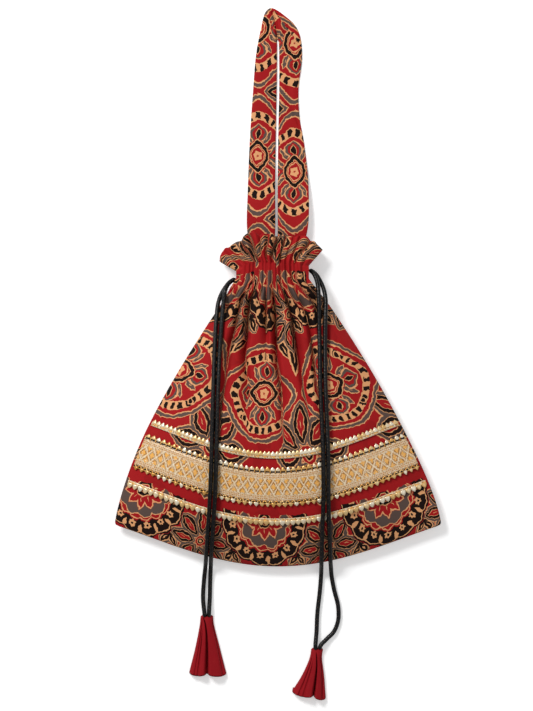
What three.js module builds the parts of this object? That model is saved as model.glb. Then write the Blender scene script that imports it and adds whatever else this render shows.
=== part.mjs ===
// A drawstring potli bag of printed cotton with lace bands, a folded strap handle and two cloth tassels.
// Millimetres. It lies on its back: the handle points along +Y, the front faces +Z.
// The origin is on the resting surface, under the middle of the bag without its cords and tassels.
import * as THREE from "three";
import { mergeVertices } from "three/addons/utils/BufferGeometryUtils.js";

const { clamp, lerp, smoothstep } = THREE.MathUtils;

// Cloth and clearances
const cloth = 0.8;
const clearance = 0.3;

// Body outline, seen from the front
const bodyLength = 198; // side edge, from the hem's corner to the neck
const neckY = 6; // where the side edges meet the neck
const hemHalfWidth = 130.8;
const neckHalfWidth = 29;
const sideFlare = 1.38; // 1 would be straight sides
const hemSag = 32; // how far the hem's middle hangs below its corners
const hemCornerRadius = 4;
const bodyDrift = 2.4; // the body leans this far to the left
const neckDrift = 2; // and the neck this much more

// Body fullness
const seamHeight = 9; // side seam above the resting surface
const frontCrown = 27; // front panel's middle above the side seam
const backFlatShare = 0.72; // share of the width that lies flat
const backHemRise = 27.4; // length over which the back panel curls up to the hem

// Neck and ruffle
const neckMiddle = 13.25; // height of the side seams at the neck
const seamSlit = 4.7; // how far each panel stands off the seam where the drawstrings come out
const slitStart = -14;
const slitFull = -2;
const frontNeckInside = 24.6; // inside of the front panel, between gathers, at the neck
const backNeckUnderside = 1.9;
const casingTopY = 20;
const casingTopDropLeft = 8;
const casingTopDropRight = 3.5;
const ruffleHeight = 26;
const frontLipHeight = 20.5;
const backLipHeight = 3;
const lipSideDrop = 7;
const frontLipSide = frontLipHeight - lipSideDrop;
const backLipSide = 6;
const backRuffleShare = 0.93; // the back ruffle is this much of the front one's height
const frontGathers = 7;
const backGathers = 5;
const gatherDepth = 1.6;
const frontFluteDepth = 3;
const backFluteDepth = 2.2;
const frontGatherStart = 0.5; // share of the way up the body
const backGatherStart = 0.62;

// Free edge of the ruffle, from its left lobe over the top to its right lobe: place across, then share
// of the ruffle's height over the casing
const ruffleEdge = new THREE.CatmullRomCurve3(
  [
    [-46.8, -0.004],
    [-45.8, 0.231],
    [-40, 0.538],
    [-29.6, 0.738],
    [-26, 0.923],
    [-10, 0.915],
    [7, 0.892],
    [23, 0.823],
    [29.5, 0.635],
    [35.8, 0.354],
  ].map(([x, share]) => new THREE.Vector3(x, casingTopY + share * ruffleHeight, 0)),
  false,
  "centripetal",
);

// Lace bands: each edge is given by its height along the side edge of the body
const trimThickness = 0.9;
const trimClearance = 0.45; // between the curved cloth and the bands stitched on it
const upperBraidY = -108;
const upperBraidWidth = 2.6;
const upperToothLength = 3.2;
const upperTeeth = 42;
const laceLowerY = -140.8;
const laceUpperY = -121.2;
const laceEdging = 5.4;
const laceDrops = 34;
const lowerBraidY = -154;
const lowerBraidWidth = 2.6;
const lowerPearlLength = 4;
const lowerPearls = 44;
const backTrimColumns = 24;
const trimValleyShare = 0.2;
const bedDepth = 1.5; // the back panel stands this far off the surface over its bands
const bedMargin = 4;

// Handle strap
const strapThickness = 2.2;
const strapMouthHeight = 7;
const strapEndHeight = 5.2;
const strapEndY = 22;
const strapLiftStart = 105;
const strapLiftEnd = 46;
const strapCrumple = 1.6;

// Casing strips
const casingStartY = -3;
const casingEndY = 20;
const casingEdgeWidth = 3.2; // stitched edge, rolled to the gathers
const casingHalfLength = 12;
const frontCasingHeight = 17.6;
const backCasingHeight = 8.6;
const casingEdgeRoll = 3.9;

// Drawstrings
const cordDiameter = 3.5;
const cordSides = 8;
const cordSteps = 64;

// Tassels
const tasselThickness = 9;
const tasselEdge = 1.6;

const hemY = neckY - bodyLength;

// A closed sheet of cloth. place(u, row, side) lays its grid out: u runs from -1 to 1, side is 1 or -1.
function clothSheet(columns, rows, place) {
  const grid = new THREE.BoxGeometry(2, rows, 2, columns, rows, 1);
  const points = grid.attributes.position;
  for (let i = 0; i < points.count; i++) {
    const row = Math.round(points.getY(i) + rows / 2);
    points.setXYZ(i, ...place(points.getX(i), row, Math.sign(points.getZ(i))));
  }
  grid.deleteAttribute("normal");
  grid.deleteAttribute("uv");
  const sheet = mergeVertices(grid, 1e-4);
  sheet.computeVertexNormals();
  return sheet;
}

// How far up the body a row lies: 0 at the hem, 1 at the neck.
const bodyShare = (v) => clamp((v - hemY) / bodyLength, 0, 1);

function bodyPoint(u, v) {
  const share = bodyShare(v);
  const spread = Math.pow(share, sideFlare);
  const corner = 1 - clamp((v - hemY) / hemCornerRadius, 0, 1);
  const half =
    lerp(hemHalfWidth, neckHalfWidth, spread) -
    hemCornerRadius * (1 - Math.sqrt(1 - corner * corner));
  const drift =
    bodyDrift * smoothstep(share, 0, 0.45) +
    neckDrift * smoothstep(share, 0.88, 1);
  const sag = hemSag * Math.pow(Math.sin((Math.PI / 2) * (1 - share)), 0.85);
  const reach = u * u * (1.35 - 0.35 * u * u);
  return [u * half - drift, v - sag * (1 - reach)];
}

// The casing's top edge drops towards the sides, where the ruffle's lobes fold over.
function casingTopPoint(u) {
  const [x] = bodyPoint(u, neckY);
  const drop = lerp(casingTopDropLeft, casingTopDropRight, (u + 1) / 2);
  return [x, casingTopY - drop * Math.pow(Math.abs(u), 3)];
}

const ruffleShare = (v) => clamp((v - casingTopY) / ruffleHeight, 0, 1);

// Place of a row v across the whole panel: body, casing and ruffle.
function panelPoint(u, v, ruffleReach = 1) {
  if (v <= neckY) return bodyPoint(u, v);
  const [topX, topY] = casingTopPoint(u);
  if (v <= casingTopY) {
    const [x, y] = bodyPoint(u, neckY);
    const share = (v - neckY) / (casingTopY - neckY);
    return [lerp(x, topX, share), lerp(y, topY, share)];
  }
  const edge = ruffleEdge.getPointAt((u + 1) / 2);
  const share = ruffleShare(v) * ruffleReach;
  return [lerp(topX, edge.x, share), lerp(topY, edge.y, share)];
}

// Folds across the panel, from -1 to 1, dying out at the side seams.
const folds = (u, count, phase) =>
  Math.cos(Math.PI * count * u + phase + 0.8 * Math.sin(2.4 * u)) *
  (1 - Math.pow(u, 4));

const seamAt = (v) =>
  lerp(seamHeight, neckMiddle, smoothstep(bodyShare(v), 0.6, 1));
const slitAt = (v) => seamSlit * smoothstep(v, slitStart, slitFull);
const frontGatherAt = (v) => smoothstep(bodyShare(v), frontGatherStart, 1);
const backGatherAt = (v) => smoothstep(bodyShare(v), backGatherStart, 1);

// Height of the front panel's inside.
function frontInside(u, v) {
  const share = bodyShare(v);
  const edge = seamAt(v) + clearance / 2 + slitAt(v);
  const swell = 1 - Math.pow(1 - Math.min(share / 0.42, 1), 2.4);
  const neckCrown = frontNeckInside - neckMiddle - clearance / 2 - seamSlit;
  const crown = lerp(frontCrown * swell, neckCrown, smoothstep(share, 0.45, 1));
  const gather = frontGatherAt(v);
  const profile = 1 - Math.pow(Math.abs(u), lerp(2.8, 6, gather));
  const panel = edge + crown * profile;
  const lip = lerp(frontLipHeight, frontLipSide, Math.pow(Math.abs(u), 3));
  const depth = lerp(gatherDepth * gather, frontFluteDepth, ruffleShare(v));
  return lerp(panel, lip, ruffleShare(v)) + depth * folds(u, frontGathers, 0.6);
}

// The back panel stands off the surface over the bands that run under it.
const bedStart = lowerBraidY - lowerBraidWidth - lowerPearlLength;
const bedEnd = upperBraidY + upperBraidWidth + upperToothLength;
const bedAt = (v) =>
  bedDepth *
  smoothstep(v, bedStart - bedMargin, bedStart) *
  (1 - smoothstep(v, bedEnd, bedEnd + bedMargin));

// Height of the back panel's outside, which lies on the surface.
function backOutside(u, v) {
  const edge = seamAt(v) - clearance / 2 - slitAt(v) - cloth;
  const side = clamp(
    (Math.abs(u) - backFlatShare) / (1 - backFlatShare),
    0,
    1,
  );
  const hem = clamp(1 - (v - hemY) / backHemRise, 0, 1);
  const curl = 1 - (1 - side * side) * (1 - hem * hem);
  const gather = backGatherAt(v);
  const floor = Math.max(bedAt(v), backNeckUnderside * gather);
  const panel = lerp(floor, edge, lerp(curl, Math.pow(Math.abs(u), 6), gather));
  const lip = lerp(backLipHeight, backLipSide, Math.pow(Math.abs(u), 3));
  const depth = lerp(gatherDepth * gather, backFluteDepth, ruffleShare(v));
  return lerp(panel, lip, ruffleShare(v)) + depth * folds(u, backGathers, 2.2);
}

const ruffleRows = [0, 0.3, 0.65, 1].map((r) => casingTopY + r * ruffleHeight);
const frontRows = [
  ...[0, 1.2, hemCornerRadius, 12, 24].map((rise) => hemY + rise),
  lowerBraidY - lowerBraidWidth - lowerPearlLength,
  lowerBraidY,
  laceLowerY - laceEdging,
  laceLowerY,
  (laceLowerY + laceUpperY) / 2,
  laceUpperY,
  upperBraidY - upperBraidWidth,
  upperBraidY + upperToothLength,
  -88,
  -70,
  -50,
  -32,
  -16,
  slitFull,
  neckY,
  ...ruffleRows,
];
const backRows = [
  ...[0, hemCornerRadius, 10, 18].map((rise) => hemY + rise),
  bedStart - bedMargin,
  bedStart,
  (laceLowerY + laceUpperY) / 2,
  bedEnd,
  bedEnd + bedMargin,
  -70,
  -45,
  -25,
  slitFull,
  neckY,
  ...ruffleRows,
];

function frontPanel() {
  return clothSheet(36, frontRows.length - 1, (u, row, side) => {
    const v = frontRows[row];
    const lift = side > 0 ? cloth : 0;
    return [...panelPoint(u, v), frontInside(u, v) + lift];
  });
}

function backPanel() {
  return clothSheet(24, backRows.length - 1, (u, row, side) => {
    const v = backRows[row];
    const lift = side > 0 ? cloth : 0;
    return [...panelPoint(u, v, backRuffleShare), backOutside(u, v) + lift];
  });
}

// A lace band: rows from its lower to its upper edge. A row with a reach runs out to points between valleys.
function laceBand(count, rows, face) {
  const columns = rows.some((row) => row.reach) ? 2 * count : count;
  const spread = 1 - 2 / hemHalfWidth;
  return clothSheet(columns, rows.length - 1, (step, row, side) => {
    const column = Math.round(((step + 1) / 2) * columns);
    const { at, reach = 0 } = rows[row];
    const v = at + reach * (column % 2 ? 1 : trimValleyShare);
    const u = step * spread;
    return [...bodyPoint(u, v), face(u, v, side)];
  });
}

function frontBand(count, rows) {
  return laceBand(count, rows, (u, v, side) => {
    const gap = cloth + trimClearance + (side > 0 ? trimThickness : 0);
    return frontInside(u, v) + gap;
  });
}

function backBand(rows) {
  return laceBand(backTrimColumns, rows, (u, v, side) => {
    const gap = clearance + (side > 0 ? 0 : trimThickness);
    return backOutside(u, v) - gap;
  });
}

const upperBraidRows = [
  { at: upperBraidY - upperBraidWidth },
  { at: upperBraidY, reach: upperToothLength },
];
const laceRows = [
  { at: laceLowerY, reach: -laceEdging },
  { at: (laceLowerY + laceUpperY) / 2 },
  { at: laceUpperY, reach: laceEdging },
];
const lowerBraidRows = [
  { at: lowerBraidY - lowerBraidWidth, reach: -lowerPearlLength },
  { at: lowerBraidY },
];
const plainEdges = (rows) => rows.map(({ at }) => ({ at }));

// A strip of cloth behind the gathers, rolled at its long edges to where it is stitched.
function casingStrip(height, direction) {
  const [middle] = bodyPoint(0, neckY);
  const rows = [
    [casingStartY, casingEdgeRoll],
    [casingStartY + casingEdgeWidth, 0],
    [casingEndY - casingEdgeWidth, 0],
    [casingEndY, casingEdgeRoll],
  ];
  return clothSheet(10, rows.length - 1, (u, row, side) => {
    const [y, roll] = rows[row];
    const face = side > 0 ? cloth : 0;
    return [middle + u * casingHalfLength, y, height + direction * roll + face];
  });
}

const flat = ([x, y]) => new THREE.Vector3(x, y, 0);
const edgeCurve = (points) =>
  new THREE.CatmullRomCurve3(points.map(flat), false, "centripetal");

// A band of cloth between two edges whose points are matched. height(u, share, side, y) is its z.
function bandBetween(first, second, columns, rows, height) {
  const from = edgeCurve(first);
  const to = edgeCurve(second);
  return clothSheet(columns, rows, (u, row, side) => {
    const share = row / rows;
    const point = from.getPoint(share).lerp(to.getPoint(share), (u + 1) / 2);
    return [point.x, point.y, height(u, share, side, point.y)];
  });
}

// The strap goes up on the left, turns over at the top and comes down on the right.
const strapOuter = [
  [-20, strapEndY],
  [-24.6, 44],
  [-24.2, 77],
  [-22.6, 118],
  [-20, 157],
  [-17.6, 186],
  [-14.4, 203.6],
  [-9.6, 221],
  [-5.2, 223.6],
  [6.8, 216.4],
  [14.4, 208.8],
  [18.1, 199.6],
  [19.4, 184],
  [16.6, 159],
  [17.4, 136],
  [21.3, 113],
  [24.6, 80],
  [23, 42],
  [14, strapEndY],
];
const strapInner = [
  [-4, strapEndY],
  [-2.2, 44],
  [-2.2, 77],
  [-1.7, 118],
  [-1, 157],
  [-0.7, 182],
  [-0.7, 193],
  [-0.6, 196.6],
  [-0.2, 198],
  [0.3, 196.8],
  [0.7, 195],
  [0.9, 191],
  [1, 182],
  [1, 157],
  [0.5, 136],
  [0.1, 113],
  [-0.3, 80],
  [-0.3, 42],
  [-1.4, strapEndY],
];

function handleStrap() {
  const turn = 0.46; // share of the strap's rows at its turned top
  const turnWidth = 0.1;
  return bandBetween(strapOuter, strapInner, 4, 36, (u, share, side, y) => {
    const lift = 1 - smoothstep(y, strapLiftEnd, strapLiftStart);
    const sink = 1 - smoothstep(y, strapEndY, strapLiftEnd);
    const base = lerp(strapMouthHeight * lift, strapEndHeight, sink);
    const near = Math.exp(-Math.pow((share - turn) / turnWidth, 2));
    const crease = 0.5 + 0.5 * Math.cos(64 * share);
    const crumple = strapCrumple * near * crease * (0.4 + 0.6 * (1 - u * u));
    return base + (side > 0 ? strapThickness + crumple : 0);
  });
}

// A tassel is a cone of pleated cloth, lying flat, with a deep fold down its face.
function tassel(right, left, fold) {
  return bandBetween(right, left, 10, 5, (u, share, side) => {
    if (side < 0) return clearance * Math.abs(u);
    const body = (tasselThickness - tasselEdge) * Math.sqrt(1 - u * u);
    const groove = Math.exp(-Math.pow((u - fold) / 0.22, 2));
    return tasselEdge + body * (0.55 + 0.45 * share) * (1 - 0.45 * groove);
  });
}

// Right and left edge of each tassel, from its head down.
const leftTasselEdges = [
  [
    [-52, -263.4],
    [-51.6, -269.5],
    [-47, -288],
    [-41.4, -310],
  ],
  [
    [-62, -263.4],
    [-62.6, -270],
    [-66, -288],
    [-71.2, -309.2],
  ],
];
const rightTasselEdges = [
  [
    [36.4, -289.8],
    [35.4, -297],
    [37, -311],
    [38.4, -329.4],
  ],
  [
    [26.8, -289.4],
    [25.6, -297],
    [19.6, -311],
    [11.4, -324.4],
  ],
];

// One drawstring: up from the tassel, through the casing, round, back and down to the tassel again.
function drawstring(route) {
  const path = new THREE.CatmullRomCurve3(
    route.map(([x, y, z]) => new THREE.Vector3(x, y, z)),
    false,
    "centripetal",
  );
  const radius = cordDiameter / 2;
  const section = new THREE.Shape(
    Array.from({ length: cordSides }, (_, i) => {
      const angle = ((i + 0.5) / cordSides) * 2 * Math.PI;
      return new THREE.Vector2(
        radius * Math.cos(angle),
        radius * Math.sin(angle),
      );
    }),
  );
  return new THREE.ExtrudeGeometry(section, {
    steps: cordSteps,
    bevelEnabled: false,
    extrudePath: path,
  });
}

const leftRoute = [
  [-58.9, -262.8, 4.4],
  [-60.1, -250, 2.3],
  [-59.3, -235, 2.1],
  [-58.2, -225, 4.4],
  [-57.4, -215, 14.2],
  [-56.4, -202, 21.8],
  [-55, -182, 30.6],
  [-53.8, -162, 35.8],
  [-53.1, -141, 37.3],
  [-52.5, -119, 35.6],
  [-51.5, -84, 31.2],
  [-50.5, -52, 25.2],
  [-49.2, -27, 20.3],
  [-47.6, -13, 16],
  [-44.4, -4.6, 13],
  [-38.6, 3.4, 11.4],
  [-33.4, 6.2, 11.3],
  [-25, 6, 8.6],
  [-16, 6, 6.5],
  [0, 6, 6.4],
  [14, 6, 6.5],
  [19.2, 6, 8.4],
  [21, 6, 13.4],
  [19.2, 6, 18.4],
  [14, 6, 20.5],
  [0, 6, 20.5],
  [-16, 6, 20.4],
  [-25, 6, 18.4],
  [-33.4, 6.2, 15.2],
  [-37.4, 4.2, 15.4],
  [-40.6, 0.6, 17],
  [-42.4, -4.6, 19.6],
  [-43.4, -12, 20.6],
  [-44.8, -28, 23],
  [-46.3, -50, 26],
  [-47.6, -80, 31.4],
  [-48.6, -116, 35.9],
  [-49.1, -140, 37.9],
  [-49.8, -162, 36.7],
  [-51, -182, 31.4],
  [-52.4, -202, 22.6],
  [-53.4, -215, 14.8],
  [-53.9, -225, 4.6],
  [-54.3, -235, 2.1],
  [-54.9, -250, 2.3],
  [-54.9, -262.8, 4.4],
];
const rightRoute = [
  [29.7, -288.6, 4.4],
  [30.9, -277, 2.5],
  [31.6, -262, 2.1],
  [33.6, -244, 2.1],
  [34.6, -231, 2.6],
  [34.7, -225.5, 7.2],
  [34.7, -220, 14],
  [34.9, -207, 21.8],
  [35.4, -188, 31.2],
  [36, -167, 36.9],
  [35.9, -147, 38.9],
  [35.6, -129, 38.7],
  [34.8, -110, 36.6],
  [33.7, -84, 33.4],
  [33.1, -52, 28.4],
  [32.8, -30, 24.5],
  [32.5, -13, 23.2],
  [32, -1.5, 21],
  [30.8, 5.2, 17.8],
  [28.4, 10.4, 15.4],
  [24.8, 13.8, 14.9],
  [17, 14.4, 18.4],
  [8, 14.5, 20.4],
  [-9, 14.5, 20.5],
  [-23, 14.5, 20.5],
  [-28.2, 14.5, 18.4],
  [-30, 14.5, 13.4],
  [-28.2, 14.5, 8.4],
  [-23, 14.5, 6.5],
  [-9, 14.5, 6.4],
  [8, 14.5, 6.5],
  [17, 14.4, 8.6],
  [24.8, 13.8, 11.3],
  [30.2, 9.8, 11.4],
  [34.2, 3.4, 12.8],
  [37, -4, 15.8],
  [38.1, -12, 19],
  [37.8, -22, 22.6],
  [37.4, -50, 27],
  [37.8, -84, 33],
  [38.9, -110, 36],
  [39.6, -129, 38.3],
  [39.9, -147, 38.3],
  [40, -167, 36.6],
  [40.5, -188, 30.8],
  [41.4, -207, 21],
  [41.9, -219, 13.6],
  [42.4, -225, 7],
  [43, -232, 2.6],
  [45, -243, 2.1],
  [48.2, -256, 2.1],
  [48.2, -268, 2.1],
  [44.6, -277, 2.1],
  [39, -282.6, 2.8],
  [34, -287.8, 4.4],
];

const paint = (color, roughness, metalness = 0) =>
  new THREE.MeshStandardMaterial({ color, roughness, metalness });
const printedCotton = () => paint(0xa82024, 0.85);
const goldLace = () => paint(0xcfae78, 0.45, 0.5);
const blackCord = () => paint(0x1e2020, 0.5);
const redCotton = () => paint(0x8f141c, 0.8);

const parts = [
  ["front_panel", frontPanel(), printedCotton()],
  ["back_panel", backPanel(), printedCotton()],
  ["front_casing_strip", casingStrip(frontCasingHeight, 1), printedCotton()],
  ["back_casing_strip", casingStrip(backCasingHeight, -1), printedCotton()],
  ["handle_strap", handleStrap(), printedCotton()],
  ["left_drawstring", drawstring(leftRoute), blackCord()],
  ["right_drawstring", drawstring(rightRoute), blackCord()],
  ["left_tassel", tassel(...leftTasselEdges, 0.35), redCotton()],
  ["right_tassel", tassel(...rightTasselEdges, -0.2), redCotton()],
  ["front_upper_trim", frontBand(upperTeeth, upperBraidRows), goldLace()],
  ["front_wide_lace", frontBand(laceDrops, laceRows), goldLace()],
  ["front_lower_trim", frontBand(lowerPearls, lowerBraidRows), goldLace()],
  ["back_upper_trim", backBand(plainEdges(upperBraidRows)), goldLace()],
  ["back_wide_lace", backBand(plainEdges(laceRows)), goldLace()],
  ["back_lower_trim", backBand(plainEdges(lowerBraidRows)), goldLace()],
];

const bag = new THREE.Group();
for (const [name, geometry, material] of parts) {
  const mesh = new THREE.Mesh(geometry, material);
  mesh.name = name;
  bag.add(mesh);
}

export default bag;
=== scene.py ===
"""Looks of a drawstring potli bag: printed cotton, gold lace, satin cords and cloth tassels.

Shapes are worked out in millimetres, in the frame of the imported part, and laid down in metres.
The bag lies on its back: +Y is towards the handle, +Z is out of its front.
"""

import functools
import math
import random

import bmesh
import bpy
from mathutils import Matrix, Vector, noise


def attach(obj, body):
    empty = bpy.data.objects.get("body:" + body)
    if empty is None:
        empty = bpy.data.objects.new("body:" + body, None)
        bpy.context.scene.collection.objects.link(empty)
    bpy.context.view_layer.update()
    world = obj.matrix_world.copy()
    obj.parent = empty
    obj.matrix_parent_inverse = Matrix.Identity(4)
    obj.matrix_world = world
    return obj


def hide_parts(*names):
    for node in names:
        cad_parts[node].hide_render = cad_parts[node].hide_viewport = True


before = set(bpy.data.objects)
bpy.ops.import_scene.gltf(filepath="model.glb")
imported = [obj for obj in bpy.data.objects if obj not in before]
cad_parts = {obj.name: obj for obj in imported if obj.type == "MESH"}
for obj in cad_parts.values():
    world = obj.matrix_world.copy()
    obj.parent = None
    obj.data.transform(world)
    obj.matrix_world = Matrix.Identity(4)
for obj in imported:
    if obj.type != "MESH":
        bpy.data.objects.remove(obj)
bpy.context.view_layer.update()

bl_info = {
    "name": "Potli bag looks",
    "version": (1, 0, 0),
    "blender": (4, 5, 0),
    "location": "3D View > Sidebar > Potli bag",
    "description": "Builds the cloth, lace, cords, tassels and stage of a drawstring potli bag",
    "category": "Object",
}

MM = 0.001

# Sizes shared with the solids, in millimetres
CLOTH = 0.8
CLEARANCE = 0.3
BODY_LENGTH = 198
NECK_Y = 6
HEM_Y = NECK_Y - BODY_LENGTH
HEM_HALF_WIDTH = 130.8
NECK_HALF_WIDTH = 29
SIDE_FLARE = 1.38
HEM_SAG = 32
HEM_CORNER = 4
BODY_DRIFT = 2.4
NECK_DRIFT = 2
SEAM_HEIGHT = 9
FRONT_CROWN = 27
BACK_FLAT_SHARE = 0.72
BACK_HEM_RISE = 27.4
NECK_MIDDLE = 13.25
SEAM_SLIT = 4.7
SLIT_START = -14
SLIT_FULL = -2
FRONT_NECK_INSIDE = 24.6
BACK_NECK_UNDERSIDE = 1.9
CASING_TOP_Y = 20
CASING_TOP_DROP = (8, 3.5)
RUFFLE_HEIGHT = 26
RUFFLE_EDGE_Y = CASING_TOP_Y + RUFFLE_HEIGHT
FRONT_LIP = (20.5, 13.5)
BACK_LIP = (3, 6)
BACK_RUFFLE_SHARE = 0.93
UPPER_BRAID_Y = -108
BRAID_WIDTH = 2.6
UPPER_TOOTH = 3.2
LACE_LOWER_Y = -140.8
LACE_UPPER_Y = -121.2
LACE_PITCH = 8.3
LADDER = 2.4
LOWER_BRAID_Y = -154
LOWER_PEARL = 4
BED_DEPTH = 1.5
BED_MARGIN = 4
BED_START = LOWER_BRAID_Y - BRAID_WIDTH - LOWER_PEARL
BED_END = UPPER_BRAID_Y + BRAID_WIDTH + UPPER_TOOTH
CASING_CORDS_TOP = 23.1

# Rows of mesh in a panel, and columns in each panel
BODY_ROWS, CASING_ROWS, RUFFLE_ROWS = 132, 13, 26
FRONT_COLUMNS, BACK_COLUMNS = 210, 130

# The cloth before it was gathered
FLAT_HALF_WIDTH = 130.8
SIDE_CUT_IN = 16
# Where the cloth starts to gather and is fully gathered, and what each fold takes up there
GATHERS = (-60, -8)
DEEP_FOLD = 4.5
DEEP_FOLD_CLOTH = 27
FINE_FOLD_CLOTH = 4
PATTERN_WIDTH = 103
PATTERN_HEIGHT = 164
PATTERN_SHIFT = 11
BLOCK_DRIFT = 6
EDGE_DRIFT = 2.6
ROSETTE_FLOWERS = 15
# Rows of the print's motifs, up the flat cloth
SPRIG_ROW = 3
SMALL_LOTUS_ROW = 12
ROSETTE_ROW = 36
STEM_ROW = 61
LARGE_LOTUS_ROW = 82
SPOT_ROW = 103
MEDALLION_ROW = 125
LEAF_ROW = 149

# Unevenness of the front: size of its lumps, then depth
SLACK = (34, 1.3)
CRUMPLE = (7, 0.35)
PINCH = (4, 0.5)
# Where the cords lie on the gathers, and how far they keep them flat
CORDS_AT = (-48.5, 35.5)
CORD_CALM = 7


def clamp(value, low=0.0, high=1.0):
    return max(low, min(high, value))


def lerp(start, end, share):
    return start + (end - start) * share


def smoothstep(value, low, high):
    share = clamp((value - low) / (high - low))
    return share * share * (3 - 2 * share)


def metres(point):
    return Vector(point) * MM


class Route:
    """A centripetal Catmull-Rom curve through points, as the solids use."""

    def __init__(self, points):
        self.points = [Vector(point).to_3d() for point in points]
        lengths = [0.0]
        self.samples = [self.at(i / 400) for i in range(401)]
        for start, end in zip(self.samples, self.samples[1:]):
            lengths.append(lengths[-1] + (end - start).length)
        self.lengths = lengths

    def at(self, share):
        points = self.points
        last = len(points) - 1
        place = clamp(share) * last
        index = min(int(place), last - 1)
        weight = place - index
        p1, p2 = points[index], points[index + 1]
        p0 = points[index - 1] if index > 0 else 2 * p1 - p2
        p3 = points[index + 2] if index + 2 <= last else 2 * p2 - p1
        pairs = ((p0, p1), (p1, p2), (p2, p3))
        d0, d1, d2 = (math.sqrt(max((b - a).length, 1e-9)) for a, b in pairs)
        t1 = ((p1 - p0) / d0 - (p2 - p0) / (d0 + d1) + (p2 - p1) / d1) * d1
        t2 = ((p2 - p1) / d1 - (p3 - p1) / (d1 + d2) + (p3 - p2) / d2) * d1
        c2 = -3 * p1 + 3 * p2 - 2 * t1 - t2
        c3 = 2 * p1 - 2 * p2 + t1 + t2
        return p1 + t1 * weight + c2 * weight**2 + c3 * weight**3

    @property
    def length(self):
        return self.lengths[-1]

    def along(self, share):
        """The point at this share of the length."""
        target = clamp(share) * self.length
        low, high = 0, len(self.lengths) - 1
        while high - low > 1:
            middle = (low + high) // 2
            if self.lengths[middle] <= target:
                low = middle
            else:
                high = middle
        span = self.lengths[high] - self.lengths[low]
        weight = (target - self.lengths[low]) / span if span else 0
        return self.samples[low].lerp(self.samples[high], weight)


# Place across, then share of the ruffle's height over the casing
RUFFLE_POINTS = [
    (-46.8, -0.004), (-45.8, 0.231), (-40, 0.538), (-29.6, 0.738), (-26, 0.923), (-10, 0.915),
    (7, 0.892), (23, 0.823), (29.5, 0.635), (35.8, 0.354),
]
RUFFLE_EDGE = Route([(x, CASING_TOP_Y + share * RUFFLE_HEIGHT) for x, share in RUFFLE_POINTS])


# Shape of the panels. u runs from -1 to 1 across a panel, v up it in millimetres.


def body_share(v):
    return clamp((v - HEM_Y) / BODY_LENGTH)


@functools.lru_cache(maxsize=None)
def body_row(v):
    """Half width, drift and sag of a row."""
    share = body_share(v)
    corner = 1 - clamp((v - HEM_Y) / HEM_CORNER)
    half = lerp(HEM_HALF_WIDTH, NECK_HALF_WIDTH, share**SIDE_FLARE)
    half -= HEM_CORNER * (1 - math.sqrt(1 - corner * corner))
    drift = BODY_DRIFT * smoothstep(share, 0, 0.45) + NECK_DRIFT * smoothstep(share, 0.88, 1)
    sag = HEM_SAG * math.sin(math.pi / 2 * (1 - share)) ** 0.85
    return half, drift, sag


def body_point(u, v):
    half, drift, sag = body_row(v)
    reach = u * u * (1.35 - 0.35 * u * u)
    return u * half - drift, v - sag * (1 - reach)


def ruffle_share(v):
    return clamp((v - CASING_TOP_Y) / RUFFLE_HEIGHT)


def panel_point(u, v, ruffle_reach=1.0):
    if v <= NECK_Y:
        return body_point(u, v)
    x, y = body_point(u, NECK_Y)
    top = CASING_TOP_Y - lerp(*CASING_TOP_DROP, (u + 1) / 2) * abs(u) ** 3
    if v <= CASING_TOP_Y:
        return x, lerp(y, top, (v - NECK_Y) / (CASING_TOP_Y - NECK_Y))
    edge = RUFFLE_EDGE.along((u + 1) / 2)
    share = ruffle_share(v) * ruffle_reach
    return lerp(x, edge.x, share), lerp(top, edge.y, share)


def visible_half(v):
    """Half of the width that a row shows."""
    half = body_row(min(v, NECK_Y))[0]
    return lerp(half, RUFFLE_EDGE.length / 2, ruffle_share(v))


def seam_at(v):
    return lerp(SEAM_HEIGHT, NECK_MIDDLE, smoothstep(body_share(v), 0.6, 1))


def slit_at(v):
    return SEAM_SLIT * smoothstep(v, SLIT_START, SLIT_FULL)


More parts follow.
